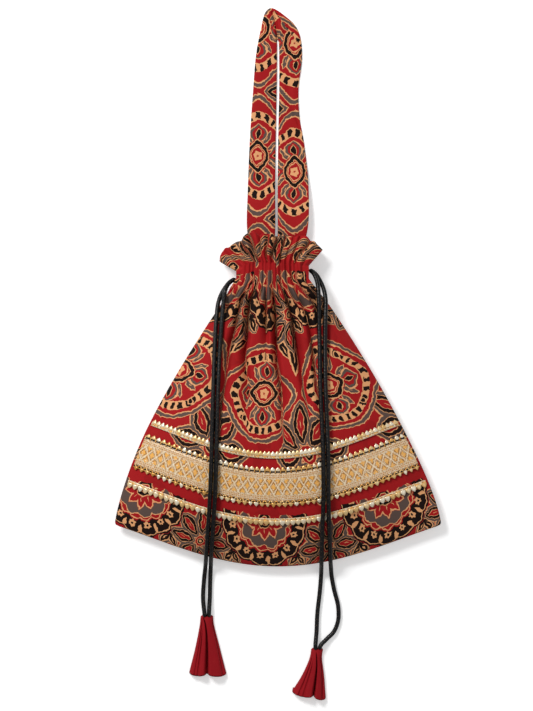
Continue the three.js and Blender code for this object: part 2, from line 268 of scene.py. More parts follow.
# Folds that run down from the gathers: depth and width at the neck, then the cloth each one hides
# at the level of the medallions, in millimetres, then (v, u) from the ruffle's edge down to where
# the fold dies out.
FRONT_FOLDS = [
    (3.4, 2.6, 0, [(46, -0.8), (20, -0.86), (-8, -0.92), (-26, -0.93)]),
    (3.8, 2.2, 0, [(46, -0.66), (20, -0.72), (6, -0.74), (-18, -0.87), (-42, -0.86)]),
    (3.2, 1.9, 0, [(46, -0.56), (20, -0.6), (6, -0.62), (-16, -0.76)]),
    (
        5.0,
        2.2,
        20,
        [
            (46, -0.46), (20, -0.48), (6, -0.5), (-10, -0.66),
            (-34, -0.6), (-70, -0.52), (-112, -0.45),
        ],
    ),
    (
        6.4,
        2.3,
        5,
        [
            (46, -0.28), (20, -0.35), (6, -0.37), (-10, -0.49),
            (-34, -0.4), (-70, -0.275), (-112, -0.2),
        ],
    ),
    (3.2, 1.8, 0, [(46, -0.1), (20, -0.24), (6, -0.25), (-14, -0.3)]),
    (5.2, 2.0, 0, [(46, 0.035), (20, -0.14), (6, -0.15), (-10, -0.165), (-34, -0.12), (-56, -0.1)]),
    (
        6.6,
        2.2,
        20,
        [(46, 0.17), (20, 0.0), (6, 0.0), (-10, 0.01), (-34, 0.02), (-70, 0.066), (-122, 0.07)],
    ),
    (3.2, 1.8, 0, [(46, 0.25), (20, 0.1), (6, 0.11), (-14, 0.15)]),
    (
        6.2,
        2.2,
        8,
        [(46, 0.32), (20, 0.21), (6, 0.22), (-10, 0.28), (-34, 0.29), (-75, 0.31), (-106, 0.33)],
    ),
    (3.6, 1.9, 0, [(46, 0.44), (20, 0.36), (6, 0.38), (-18, 0.45), (-30, 0.45)]),
    (4.2, 2.2, 15, [(46, 0.55), (20, 0.5), (6, 0.52), (-14, 0.54), (-70, 0.44), (-108, 0.38)]),
    (4.8, 2.3, 0, [(46, 0.72), (20, 0.62), (6, 0.64), (-12, 0.75), (-40, 0.66), (-62, 0.64)]),
    (3.6, 2.2, 0, [(46, 0.86), (20, 0.82), (6, 0.84), (-14, 0.92), (-30, 0.93)]),
]
BACK_FOLDS = [
    (2.6, 2.6, 0, [(46, -0.84), (6, -0.84), (-30, -0.86)]),
    (3.0, 2.4, 8, [(46, -0.66), (6, -0.62), (-20, -0.66), (-80, -0.6)]),
    (2.4, 2.0, 0, [(46, -0.48), (6, -0.46), (-22, -0.5)]),
    (3.4, 2.4, 12, [(46, -0.3), (6, -0.31), (-40, -0.34), (-102, -0.36)]),
    (2.6, 2.0, 0, [(46, -0.14), (6, -0.13), (-34, -0.15)]),
    (3.4, 2.4, 14, [(46, 0.06), (6, 0.02), (-40, 0.04), (-106, 0.06)]),
    (2.4, 2.0, 0, [(46, 0.2), (6, 0.19), (-26, 0.2)]),
    (3.2, 2.4, 12, [(46, 0.36), (6, 0.36), (-40, 0.4), (-98, 0.42)]),
    (2.4, 2.0, 0, [(46, 0.55), (6, 0.53), (-28, 0.56)]),
    (3.0, 2.4, 8, [(46, 0.74), (6, 0.72), (-80, 0.72)]),
    (2.4, 2.4, 0, [(46, 0.88), (6, 0.88), (-26, 0.9)]),
]


def fold_place(points, v):
    """u of a fold at height v."""
    for (high, u_high), (low, u_low) in zip(points, points[1:]):
        if v >= low:
            return lerp(u_low, u_high, smoothstep(v, low, high) if high > low else 0)
    return points[-1][1]


def make_fold_rows(folds):
    @functools.lru_cache(maxsize=None)
    def fold_rows(v):
        """Every fold that crosses a row: place in u, depth, width and hidden cloth."""
        rows = []
        for depth, width, hidden, points in folds:
            low = points[-1][0]
            strength = smoothstep(v, low, lerp(low, NECK_Y, 0.75))
            if v <= low:
                continue
            ruffle = ruffle_share(v)
            wide = lerp(width * lerp(2.0, 1, strength), width * 1.7, ruffle)
            deep = depth * strength * lerp(1.8, 1.5, smoothstep(v, -30, NECK_Y))
            deep *= lerp(1, 1.1, ruffle)
            gathered = smoothstep(v, *GATHERS)
            kept = smoothstep(v, low, lerp(low, GATHERS[0], 0.8)) if hidden else 0
            share_of_gathers = DEEP_FOLD_CLOTH if depth > DEEP_FOLD else FINE_FOLD_CLOTH
            taken = lerp(hidden * kept, share_of_gathers * smoothstep(v, low, low + 14), gathered)
            rows.append((fold_place(points, v), deep, wide, taken))
        return rows

    return fold_rows


front_fold_rows = make_fold_rows(FRONT_FOLDS)
back_fold_rows = make_fold_rows(BACK_FOLDS)


def fold_depth(fold_rows, u, v):
    """How far the folds pull the cloth in at a point."""
    half = visible_half(v)
    total = 0.0
    for place, depth, width, _ in fold_rows(v):
        # The cloth laps over from the middle, so that side of a fold is steep
        distance = (u - place) * half / width
        distance *= 1.7 if (distance > 0) == (place < 0.05) else -0.8
        distance = abs(distance)
        if distance < 4:
            total += depth * math.exp(-(distance**1.5))
    return total


def flat_cloth(fold_rows, u, v):
    """Place on the cloth before it was gathered: the folds take up what the row doesn't show."""
    half = visible_half(v)
    share = body_share(v)
    # The left edge is cut in towards the middle of the side
    cut_in = SIDE_CUT_IN * smoothstep(share, 0.22, 0.6)
    hidden = 2 * (FLAT_HALF_WIDTH - half) - cut_in
    even = lerp(24, 3, smoothstep(v, *GATHERS))
    total = even
    taken = even * (u + 1) / 2
    for place, _, width, width_hidden in fold_rows(v):
        step = clamp((u - place) * half / width * 11, -30, 30)
        taken += width_hidden / (1 + math.exp(-step))
        total += width_hidden
    across = -FLAT_HALF_WIDTH + cut_in + half * (u + 1) + hidden * taken / total
    return across, BODY_LENGTH * share + max(0, v - NECK_Y)


def ripple(x, y, size, seed):
    return noise.noise(Vector((x / size, y / size, seed)))


def front_height(u, v):
    """Height of the front panel's outside."""
    share = body_share(v)
    edge = seam_at(v) + CLEARANCE / 2 + slit_at(v)
    swell = 1 - (1 - min(share / 0.42, 1)) ** 2.4
    neck_crown = FRONT_NECK_INSIDE - NECK_MIDDLE - CLEARANCE / 2 - SEAM_SLIT
    crown = lerp(FRONT_CROWN * swell, neck_crown, smoothstep(share, 0.45, 1))
    gather = smoothstep(share, 0.5, 1)
    profile = 1 - abs(u) ** lerp(2.8, 6, gather)
    panel = edge + crown * profile
    lip = lerp(*FRONT_LIP, abs(u) ** 3)
    ruffle = ruffle_share(v)
    inside = lerp(panel, lip, ruffle)
    side = 1 - abs(u) ** 5
    x, y = panel_point(u, v)
    # Puffed between the gathers, but flat under the cords
    cords = sum(math.exp(-(((x - at) / CORD_CALM) ** 2)) for at in CORDS_AT) if v < 0 else 0
    rise = gather * 4.6 * side * (1 - cords)
    rise += ruffle * 0.8 * side
    slack = -(0.5 + 0.5 * ripple(x, y, SLACK[0], 3.1)) * SLACK[1] * side * (1 - gather)
    slack *= smoothstep(share, 0, 0.08)
    crumple = CRUMPLE[1] * ripple(x, y, CRUMPLE[0], 8.4) * side * gather * (1 - 0.5 * ruffle)
    pinch = PINCH[1] * ripple(x * 2.2, y * 0.7, PINCH[0], 5.2) * side * smoothstep(v, -12, 4)
    pinch *= 1 - smoothstep(v, 22, 34)
    height = inside + CLOTH + rise + slack + crumple + pinch
    height -= fold_depth(front_fold_rows, u, v) * side
    # The cords in the casing hold the folds up
    held = CASING_CORDS_TOP - 30 * (1 - smoothstep(v, -9, -1)) - 30 * smoothstep(v, 18, 25)
    over = height - held
    return held + (over if over > 1.2 else 1.2 * math.exp(min(0, (over - 1.2) / 1.2)))


def bed_at(v):
    up = smoothstep(v, BED_START - BED_MARGIN, BED_START)
    return BED_DEPTH * up * (1 - smoothstep(v, BED_END, BED_END + BED_MARGIN))


def back_height(u, v):
    """Height of the back panel's outside, which lies on the surface."""
    edge = seam_at(v) - CLEARANCE / 2 - slit_at(v) - CLOTH
    side = clamp((abs(u) - BACK_FLAT_SHARE) / (1 - BACK_FLAT_SHARE))
    hem = clamp(1 - (v - HEM_Y) / BACK_HEM_RISE)
    curl = 1 - (1 - side * side) * (1 - hem * hem)
    gather = smoothstep(body_share(v), 0.62, 1)
    floor = max(bed_at(v), BACK_NECK_UNDERSIDE * gather)
    panel = lerp(floor, edge, lerp(curl, abs(u) ** 6, gather))
    lip = lerp(*BACK_LIP, abs(u) ** 3)
    height = lerp(panel, lip, ruffle_share(v))
    inner = 1 - abs(u) ** 5
    dip = fold_depth(back_fold_rows, u, v) * inner
    return max(0.02, height - 1.1 * gather * inner + dip * 0.8)


def laid_grid(name, columns, rows, place, flat=None, close=False):
    """A mesh from a grid, in millimetres.

    place(s, t) gives each point. flat takes s, t and the s, t of its face's middle, and gives the
    point's place on flat cloth.
    """
    made = bmesh.new()
    cloth_map = made.loops.layers.uv.new("UVMap")
    bmesh.ops.create_grid(made, x_segments=columns, y_segments=rows, size=1)
    for face in made.faces:
        centre = face.calc_center_median()
        middle = ((centre.x + 1) / 2, (centre.y + 1) / 2)
        for loop in face.loops:
            x, y = loop.vert.co.x, loop.vert.co.y
            s, t = round((x + 1) / 2 * columns), round((y + 1) / 2 * rows)
            if flat:
                across, up = flat(s / columns, t / rows, middle)
                loop[cloth_map].uv = (across / 100, up / 100)
            else:
                loop[cloth_map].uv = (s / columns, t / rows)
    for vert in made.verts:
        s, t = round((vert.co.x + 1) / 2 * columns), round((vert.co.y + 1) / 2 * rows)
        vert.co = metres(place(s / columns, t / rows))
    if close:
        bmesh.ops.remove_doubles(made, verts=made.verts, dist=1e-6)
        bmesh.ops.recalc_face_normals(made, faces=made.faces)
    return finish_mesh(name, made)


def finish_mesh(name, made, smooth=True):
    mesh = bpy.data.meshes.new(name)
    made.to_mesh(mesh)
    made.free()
    if smooth:
        mesh.shade_smooth()
    piece = bpy.data.objects.new(name, mesh)
    bpy.context.scene.collection.objects.link(piece)
    return piece


def face_outwards(piece, direction):
    """Turns a sheet's faces over if most look away from the direction."""
    mesh = piece.data
    lean = sum(face.normal.dot(direction) * face.area for face in mesh.polygons)
    if lean < 0:
        mesh.flip_normals()


def thicken(piece, thickness):
    finish = piece.modifiers.new("cloth thickness", "SOLIDIFY")
    finish.thickness = thickness * MM
    finish.offset = -1
    finish.use_even_offset = False


def dress(piece, material, slot, *nodes):
    """Gives a piece its material and its place in the part."""
    piece.data.materials.append(material)
    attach(piece, "root")
    if nodes:
        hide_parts(*nodes)
    return piece


# Materials


def linear(colour):
    """A colour of 0 to 255 as the render stores it."""
    parts = [part / 255 for part in colour]
    return tuple(
        part / 12.92 if part <= 0.04045 else ((part + 0.055) / 1.055) ** 2.4 for part in parts
    )


class Value:
    """A number in a shader tree, with the arithmetic that patterns are drawn with."""

    def __init__(self, tree, socket):
        self.tree = tree
        self.socket = socket

    def sum(self, operation, *others):
        node = self.tree.nodes.new("ShaderNodeMath")
        node.operation = operation
        for slot, value in zip(node.inputs, (self, *others)):
            if isinstance(value, Value):
                self.tree.links.new(value.socket, slot)
            else:
                slot.default_value = value
        return Value(self.tree, node.outputs[0])

    def __add__(self, other):
        return self.sum("ADD", other)

    def __sub__(self, other):
        return self.sum("SUBTRACT", other)

    def __mul__(self, other):
        return self.sum("MULTIPLY", other)

    def __truediv__(self, other):
        return self.sum("DIVIDE", other)

    def __pow__(self, other):
        return self.sum("POWER", other)

    def __neg__(self):
        return self.sum("MULTIPLY", -1)

    def size(self):
        return self.sum("ABSOLUTE")

    def sine(self):
        return self.sum("SINE")

    def cosine(self):
        return self.sum("COSINE")

    def wrapped(self, span):
        """The distance from the nearest multiple of span."""
        return self.sum("WRAP", span / 2, -span / 2)

    def above(self, other):
        return self.sum("GREATER_THAN", other)

    def below(self, other):
        return self.sum("LESS_THAN", other)

    def least(self, other):
        return self.sum("MINIMUM", other)

    def most(self, other):
        return self.sum("MAXIMUM", other)


def length_of(x, y):
    return (x * x + y * y) ** 0.5


def angle_of(x, y):
    return y.sum("ARCTAN2", x)


def blend(tree, mask, base, over):
    """base where the mask is 0, over where it is 1."""
    node = tree.nodes.new("ShaderNodeMix")
    node.data_type = "RGBA"
    tree.links.new(mask.socket, node.inputs[0])
    for slot, colour in ((node.inputs[6], base), (node.inputs[7], over)):
        if isinstance(colour, bpy.types.NodeSocket):
            tree.links.new(colour, slot)
        else:
            slot.default_value = (*colour, 1)
    return node.outputs[2]


def bands(tree, value, reach, stops, kind="CONSTANT"):
    """Bands of colour: each stop is where a colour starts, in the value's own unit."""
    node = tree.nodes.new("ShaderNodeValToRGB")
    ramp = node.color_ramp
    ramp.interpolation = kind
    while len(ramp.elements) < len(stops):
        ramp.elements.new(0.5)
    for element, (start, colour) in zip(ramp.elements, stops):
        element.position = start / reach
        element.color = (*colour, 1)
    tree.links.new((value / reach).socket, node.inputs[0])
    return node.outputs[0]


def cloudiness(tree, vector, scale, detail=2.0):
    """Soft noise from 0 to 1, with three separate channels."""
    node = tree.nodes.new("ShaderNodeTexNoise")
    set_inputs(node, {"Scale": scale, "Detail": detail})
    tree.links.new(vector, node.inputs["Vector"])
    parts = tree.nodes.new("ShaderNodeSeparateColor")
    tree.links.new(node.outputs["Color"], parts.inputs[0])
    return [Value(tree, parts.outputs[i]) for i in range(3)]


def place_parts(tree, vector):
    """The first two parts of a vector."""
    node = tree.nodes.new("ShaderNodeSeparateXYZ")
    tree.links.new(vector, node.inputs[0])
    return [Value(tree, node.outputs[i]) for i in (0, 1)]


def new_group(name, inputs, outputs):
    """A shader node group with its input and output nodes."""
    tree = bpy.data.node_groups.new(name, "ShaderNodeTree")
    for label, kind, default in inputs:
        socket = tree.interface.new_socket(label, in_out="INPUT", socket_type=kind)
        if default is not None:
            socket.default_value = default
    for label, kind in outputs:
        tree.interface.new_socket(label, in_out="OUTPUT", socket_type=kind)
    start = tree.nodes.new("NodeGroupInput")
    end = tree.nodes.new("NodeGroupOutput")
    return tree, start, end


def place_group(tree, group, **values):
    node = tree.nodes.new("ShaderNodeGroup")
    node.node_tree = group
    for label, value in values.items():
        slot = node.inputs[label.replace("_", " ")]
        if isinstance(value, bpy.types.NodeSocket):
            tree.links.new(value, slot)
        else:
            slot.default_value = value
    return node


def petals(x, y, count, width, middle, reach):
    """0 along the middle of each petal of a flower, 1 on the petals' edges."""
    radius = length_of(x, y)
    turn = angle_of(y, x).wrapped(2 * math.pi / count)
    across = (turn.sine() * radius).size()
    along = (turn.cosine() * radius - middle) / reach
    return across / width + along * along


class Ink:
    """Lays the print's motifs one over the other, in millimetres on the flat cloth."""

    def __init__(self, tree, place, dyes):
        self.tree = tree
        self.dyes = dyes
        self.drift = cloudiness(tree, place, 4.0)
        self.hand = cloudiness(tree, place, 30.0, 1.0)
        across, self.up = (
            part * 100 + (self.drift[i] - 0.5) * BLOCK_DRIFT + (self.hand[i] - 0.5) * EDGE_DRIFT
            for i, part in enumerate(place_parts(tree, place))
        )
        self.column = (across + PATTERN_SHIFT).wrapped(PATTERN_WIDTH)
        self.between = (across + PATTERN_SHIFT - PATTERN_WIDTH / 2).wrapped(PATTERN_WIDTH)
        faded = tuple(part * 0.86 for part in dyes[0])
        self.colour = blend(tree, self.drift[2].above(0.56), dyes[0], faded)

    def row(self, height):
        return (self.up - height).wrapped(PATTERN_HEIGHT)

    def lay(self, mask, over):
        self.colour = blend(self.tree, mask, self.colour, over)

    def paint(self, value, limit, over, within=None):
        """Lays a dye, or bands given as reach and stops, where the value is below a limit."""
        mask = value.below(limit)
        if within is not None:
            mask = mask * within
        if isinstance(over[1], list):
            over = bands(self.tree, value, *over)
        self.lay(mask, over)


def stem(ink):
    """A wavy stem across the cloth, over the rosettes, with a round flower in each bend."""
    red, black, grey, tan = ink.dyes
    step = PATTERN_WIDTH / 2
    wave = (ink.row(STEM_ROW) - (ink.column * (2 * math.pi / step)).cosine() * 7).size()
    ink.paint(wave, 4.5, (6, [(0, grey), (1.5, tan), (2.2, black), (3.6, tan), (4.3, red)]))
    for shift, side in ((0.0, -1), (0.5, 1)):
        x, y = (ink.column + step * shift).wrapped(step), ink.row(STEM_ROW + side * 6)
        ink.paint(length_of(x, y), 7.4, (8, [(0, black), (6.2, tan), (7, red)]))
        ink.paint(petals(x, y, 6, 2.1, 0, 4.1), 1, tan)


def leaves(ink):
    """Hanging leaves between the medallions, and black sprigs over them."""
    _, black, grey, tan = ink.dyes
    for side, shift, width, reach in ((1, 5, 3.8, 8.5), (-1, 5, 3.8, 8.5), (0, 0, 4.6, 12.5)):
        x, y = ink.between - 7.2 * side, ink.row(LEAF_ROW) - shift
        leaf = ((x + y * (-0.5 * side)) / width).size() + (y / reach) ** 2
        for limit, dye in ((1.12, tan), (0.76, black), (0.14, tan)):
            ink.paint(leaf, limit, dye)
    for shift in (-26, 26):
        sprig = petals(ink.column - shift, ink.row(SPRIG_ROW) - 6, 5, 2.8, 5, 6)
        stops = [(0, tan), (0.12, black), (0.7, tan), (1, grey), (1.4, tan)]
        ink.paint(sprig, 1.55, (1.7, stops))


def knots(ink):
    """Small knots and spots beside the medallions."""
    tan = ink.dyes[3]
    side, y = ink.between.size(), ink.row(MEDALLION_ROW)
    ink.paint((side - 4.4).size() / 3.0 + (y / 3.2).size(), 1, tan)
    ink.paint(petals(side - 25, ink.row(SPOT_ROW), 4, 1.7, 0, 3.4), 1, tan)


def lotuses(ink):
    """Lotus flowers, large between the medallions and small at the hem."""
    red, black, grey, tan = ink.dyes
    for height, scale in ((LARGE_LOTUS_ROW, 1.0), (SMALL_LOTUS_ROW, 0.66)):
        x, y = ink.between / scale, ink.row(height) / scale
        stops = [(0, tan), (0.03, red), (0.3, tan), (0.35, black), (0.63, tan), (0.68, grey)]
        ink.paint(petals(x, y, 8, 10.2, 22, 16.5), 1.03, (1.2, [*stops, (0.93, tan)]))
        stops = [(0, tan), (1.6, black), (3.4, tan), (4.2, red), (6.4, tan)]
        ink.paint(length_of(x, y), 7.1, (12, stops))


def rosettes(ink):
    """Half rosettes that hang over the hem and over the medallions, with flowers in their rim."""
    red, black, grey, tan = ink.dyes
    y = ink.row(ROSETTE_ROW)
    radius, turn = length_of(ink.column, y), angle_of(ink.column, y)
    below = y.below(4.5)
    rim = radius - (turn * (ROSETTE_FLOWERS / 2)).cosine().size() * 1.9
    stops = [(0, red), (21.2, tan), (21.9, red), (23, black), (32.6, tan), (33.4, black)]
    ink.paint(rim, 35, (40, [*stops, (34.6, red)]), below)
    lobes = radius - (turn * 5).cosine().size() * 2.6
    ink.paint(lobes, 19.4, (24, [(0, red), (5, grey), (18.6, tan), (19.4, red)]), below)
    flame = petals(ink.column, y, 10, 4.8, 8.4, 8.8)
    ink.paint(flame, 0.9, (1, [(0, tan), (0.05, red), (0.62, tan), (0.84, red)]), below)
    ink.paint(radius, 6.8, (8, [(0, red), (3, tan), (3.7, black), (5.6, tan), (6.3, red)]), below)
    cell = turn.wrapped(2 * math.pi / ROSETTE_FLOWERS)
    x, bloom_y = cell.sine() * radius, cell.cosine() * radius - 27.4
    ink.paint(petals(x, bloom_y, 6, 1.5, 0, 3.1), 1, tan, below)
    ink.paint(length_of(x, bloom_y), 0.9, black, below)
    # Tongues between the flowers
    cell = (turn + math.pi / ROSETTE_FLOWERS).wrapped(2 * math.pi / ROSETTE_FLOWERS)
    tongue = (cell.sine() * radius / 1.5).size() + ((radius - 30.4) / 3.6) ** 2
    ink.paint(tongue, 1, tan, below)


def medallions(ink):
    """A frame that is pointed left and right, a dashed band, petals and a black ring."""
    red, black, grey, tan = ink.dyes
    x, y = ink.column, ink.row(MEDALLION_ROW) * 1.12
    radius, turn = length_of(x, y), angle_of(x, y)
    slope = y / radius.most(0.01)

    def pointed(sharpness, reach, whole):
        """The radius of a ring that is drawn out left and right."""
        return radius * ((slope * slope * -sharpness).sum("EXPONENT") * -reach + whole)

    stops = [(0, red), (35, tan), (35.8, grey), (38.3, tan), (39, red)]
    ink.paint(pointed(11, 0.24, 1.03), 39.2, (40, stops))
    band = pointed(9, 0.13, 1.02)
    ink.paint(band, 31.6, (40, [(0, red), (25.2, tan), (31.6, red)]))
    dash = (turn * 29 + (ink.drift[2] - 0.5) * 9).cosine() + (ink.hand[2] - 0.5) * 2.8
    ink.lay(dash.above(0.0) * (band - 28.8 + (ink.hand[1] - 0.5) * 3).size().below(2.5), black)
    stripe = petals(x, y, 12, 4.2, 16.5, 8.4)
    ink.paint(stripe, 1, (1.2, [(0, tan), (0.05, grey), (0.46, tan), (0.62, red)]))
    lozenge = petals(x, y, 4, 8.4, 17.5, 8.4)
    ink.paint(lozenge, 1, (1.2, [(0, black), (0.23, tan), (0.3, red), (0.6, grey), (0.84, tan)]))
    pip = length_of(x.size() - 19.5, y.size() - 19.5)
    ink.paint(pip, 2.6, (3, [(0, black), (1.9, tan)]))
    stops = [(0, red), (5.6, tan), (6.3, red), (6.9, tan), (7.4, black), (10.2, tan), (11, red)]
    ink.paint(pointed(7, 0.22, 1.03), 11.6, (12, stops))
    ink.paint(petals(x, y, 5, 2.6, 0, 4.4), 1, (1.2, [(0, red), (0.12, tan)]))


def block_print(dyes):
    """The printed cotton's pattern, from the place on flat cloth in hundreds of millimetres."""
    tree, start, end = new_group(
        "block print", [("Flat cloth", "NodeSocketVector", None)], [("Color", "NodeSocketColor")]
    )
    ink = Ink(tree, start.outputs[0], dyes)
    for motif in (stem, leaves, knots, lotuses, rosettes, medallions):
        motif(ink)
    tree.links.new(ink.colour, end.inputs[0])


def weave():
    """Plain weave: a height for the bump, and where the cloth is worn."""
    tree, start, end = new_group(
        "plain weave",
        [("Flat cloth", "NodeSocketVector", None), ("Threads", "NodeSocketFloat", 160.0)],
        [("Height", "NodeSocketFloat"), ("Wear", "NodeSocketFloat")],
    )
    threads = Value(tree, start.outputs[1])
    warp, weft = (
        (part * threads * math.pi).sine() for part in place_parts(tree, start.outputs[0])
    )
    slub = cloudiness(tree, start.outputs[0], 60.0, 3.0)
    tree.links.new((warp * weft * 0.25 + slub[0]).socket, end.inputs[0])
    tree.links.new(slub[1].socket, end.inputs[1])


def bump(tree, height, strength, distance):
    node = tree.nodes.new("ShaderNodeBump")
    set_inputs(node, {"Strength": strength, "Distance": distance})
    tree.links.new(height, node.inputs["Height"])
    return node.outputs[0]


def set_inputs(node, values):
    for label, value in values.items():
        node.inputs[label].default_value = value


def new_material(name):
    material = bpy.data.materials.new(name)
    material.use_nodes = True
    tree = material.node_tree
    return material, tree, tree.nodes["Principled BSDF"]


def cloth_map(tree):
    node = tree.nodes.new("ShaderNodeUVMap")
    node.uv_map = "UVMap"
    return node.outputs[0]


def map_parts(tree):
    """Both parts of the place on a piece's map, in millimetres."""
    return [part * 100 for part in place_parts(tree, cloth_map(tree))]


def cotton(name, colour_group):
    """Matt cotton: its colour comes from a group on the flat cloth's map."""
    material, tree, surface = new_material(name)
    place = cloth_map(tree)
    fibres = place_group(tree, bpy.data.node_groups["plain weave"], Flat_cloth=place)
    dye = place_group(tree, colour_group, Flat_cloth=place)
    wear = Value(tree, fibres.outputs["Wear"]) * 0.03
    worn = blend(tree, wear, dye.outputs["Color"], linear((206, 130, 104)))
    tree.links.new(worn, surface.inputs["Base Color"])
    tree.links.new(bump(tree, fibres.outputs["Height"], 0.5, 0.00012), surface.inputs["Normal"])
    set_inputs(surface, {"Roughness": 0.7, "Specular IOR Level": 0.1})
    set_inputs(surface, {"Sheen Weight": 0.02, "Sheen Roughness": 0.45})
    return material


def plain_dye(colour):
    """One dye with faint clouds."""
    tree, start, end = new_group(
        "plain dye", [("Flat cloth", "NodeSocketVector", None)], [("Color", "NodeSocketColor")]
    )
    clouds = cloudiness(tree, start.outputs[0], 9.0, 3.0)
    darker = tuple(part * 0.8 for part in colour)
    tree.links.new(blend(tree, clouds[0], colour, darker), end.inputs[0])
    return tree


def gota_weave(gold, silver, amber):
    """Woven lace, in millimetres: a lattice of lozenges between two strips of net, with painted
    shade round the lozenges and beyond the woven edge, and painted glints.
    """
    labels = (("Along", 0.0), ("Across", 0.0), ("Half width", 10.0))
    tree, start, end = new_group(
        "gota weave",
        [(label, "NodeSocketFloat", default) for label, default in labels],
        [("Color", "NodeSocketColor"), ("Height", "NodeSocketFloat")],
    )
    along, across, half = (Value(tree, start.outputs[i]) for i in range(3))
    join = tree.nodes.new("ShaderNodeCombineXYZ")
    tree.links.new(along.socket, join.inputs[0])
    tree.links.new(across.socket, join.inputs[1])
    fray = cloudiness(tree, join.outputs[0], 0.45, 3.0)
    x = along + (fray[0] - 0.5) * 2.2
    y = across + (fray[1] - 0.5) * 1.4
    first, second = ((x + y * lean).wrapped(LACE_PITCH).size() for lean in (0.83, -0.83))
    near = first.least(second)
    lattice = near.below(0.6).most((near - 1.3).size().below(0.24) * fray[2].above(0.5))
    net = x.wrapped(1.7).size().below(0.34).most(y.wrapped(1.3).size().below(0.3))
    side = (y.size() + (x * (2 * math.pi / 3.1)).sine() * 0.5).above(half * 0.6)
    middle = side * -1 + 1
    inner = (y.size() - half * 0.6).size().below(0.4)
    outer = (y.size() - half * 0.96).size().below(0.5)
    strand = (x * 1.9 + y * 4).sine().above(0.2)
    thread = lattice * middle + net * side * (fray[2] * 0.9 + 0.25)
    thread = thread.most(inner * strand).most(outer * strand).least(1)
    patch = near.above(1.9) * middle * (fray[2] * 1.2 + 0.35).least(1)
    fine = cloudiness(tree, join.outputs[0], 0.9, 2.0)
    dark = tuple(part * 0.34 for part in gold)
    layers = (
        ((fine[0] * 5 - 2.3).most(0).least(1) * 0.8, dark),
        # Painted shade: a dark ring round each lozenge, between it and the threads
        ((near - 1.72).size().below(0.3) * middle * 0.8, dark),
        (patch, amber),
        (thread, silver),
        # Painted highlights: white glints of the metal thread, scattered at random
        ((fine[1] * 6 - 3.5).most(0).least(1) * 0.9, linear((255, 250, 238))),
        # Painted shade: a dark strip beyond the woven edge, under the ladder, for the shade in its
        # gaps
        (y.size().above(half * 1.06), linear((26, 14, 12))),
    )
    colour = gold
    for mask, tone in layers:
        colour = blend(tree, mask, colour, tone)
    tree.links.new(colour, end.inputs[0])
    tree.links.new((thread * 0.6 + patch * 0.5 + fray[2] * 0.3).socket, end.inputs[1])
    return tree


def lace_material(name, group, half_width):
    material, tree, surface = new_material(name)
    along, across = (part.socket for part in map_parts(tree))
    woven = place_group(tree, group, Along=along, Across=across, Half_width=half_width)
    tree.links.new(woven.outputs["Color"], surface.inputs["Base Color"])
    tree.links.new(bump(tree, woven.outputs["Height"], 0.8, 0.0004), surface.inputs["Normal"])
    set_inputs(surface, {"Metallic": 0.05, "Roughness": 0.32})
    return material


def bead_material(name, tones):
    """Foil-covered drops: each drop's tone, with a painted highlight on its outer face and painted
    shade towards the cloth, is in an attribute of its mesh.
    """
    material, tree, surface = new_material(name)
    tone = tree.nodes.new("ShaderNodeAttribute")
    tone.attribute_name = "tone"
    last = len(tones) - 1
    stops = [(index / last, colour) for index, colour in enumerate(tones)]
    shade = bands(tree, Value(tree, tone.outputs["Fac"]), 1, stops, "LINEAR")
    tree.links.new(shade, surface.inputs["Base Color"])
    set_inputs(surface, {"Metallic": 0.35, "Roughness": 0.28})
    return material


def cord_material(name, colour):
    """Satin-covered cord: ridges run round and along it."""
    material, tree, surface = new_material(name)
    round_it, along = map_parts(tree)
    ridges, slant = round_it * (2 * math.pi * 5), along * 2.4
    braid = (ridges + slant).sine() + (ridges - slant).sine()
    fuzz = cloudiness(tree, cloth_map(tree), 30.0, 3.0)
    height = (braid * 0.2 + fuzz[0]).socket
    tree.links.new(bump(tree, height, 0.35, 0.0003), surface.inputs["Normal"])
    stitch = (along * 1.3).sine().above(0.86) * (round_it - 0.25).size().below(0.025)
    base = blend(tree, stitch * 0.6, colour, linear((96, 74, 56)))
    tree.links.new(base, surface.inputs["Base Color"])
    set_inputs(surface, {"Roughness": 0.36, "Specular IOR Level": 0.28})
    return material


# Sizes and colours that a user would change


def colour_property(name, description, colour):
    return bpy.props.FloatVectorProperty(
        name=name,
        description=description,
        default=linear(colour),
        size=3,
        min=0,
        max=1,
        subtype="COLOR",
    )


def length_property(name, description, default, low, high, unit="LENGTH"):
    return bpy.props.FloatProperty(
        name=name, description=description, default=default, min=low, max=high, unit=unit
    )


def count_property(name, description, default):
    return bpy.props.IntProperty(name=name, description=description, default=default, min=10)


class ClothSettings(bpy.types.PropertyGroup):
    """Cloth and print."""

    red: colour_property("Red dye", "Ground colour of the printed cotton", (166, 20, 26))
    black: colour_property("Black dye", "Darkest colour of the print", (8, 5, 5))
    grey: colour_property("Grey dye", "Grey of the print's bands and lobes", (92, 76, 70))
    tan: colour_property("Tan dye", "Outlines and dashes of the print", (232, 168, 116))
    tassel_red: colour_property("Tassel red", "Plain cotton of the tassels", (158, 14, 28))
    thickness: length_property(
        "Cloth thickness", "Thickness of the lined cotton", CLOTH * MM, 0.0003, 0.002
    )


class TrimSettings(bpy.types.PropertyGroup):
    """Gold lace."""

    gold: colour_property("Gold", "Woven gold thread", (218, 146, 66))
    silver: colour_property("Silver", "Woven silver thread", (244, 222, 184))
    amber: colour_property("Amber", "Lozenges of the lace", (250, 184, 88))
    pearl: colour_property("Pearl", "Brightest drops", (252, 240, 214))
    drops: count_property("Drops", "Drops along each edge of the wide lace", 50)
    teeth: count_property("Teeth", "Teeth along the upper trim", 60)
    pearls: count_property("Pearls", "Pearls along the lower trim", 57)


class CordSettings(bpy.types.PropertyGroup):
    """Drawstrings."""

    colour: colour_property("Cord colour", "Satin cover of the drawstrings", (8, 8, 9))
    diameter: length_property(
        "Cord diameter", "Diameter of both drawstrings", 0.0035, 0.002, 0.005
    )


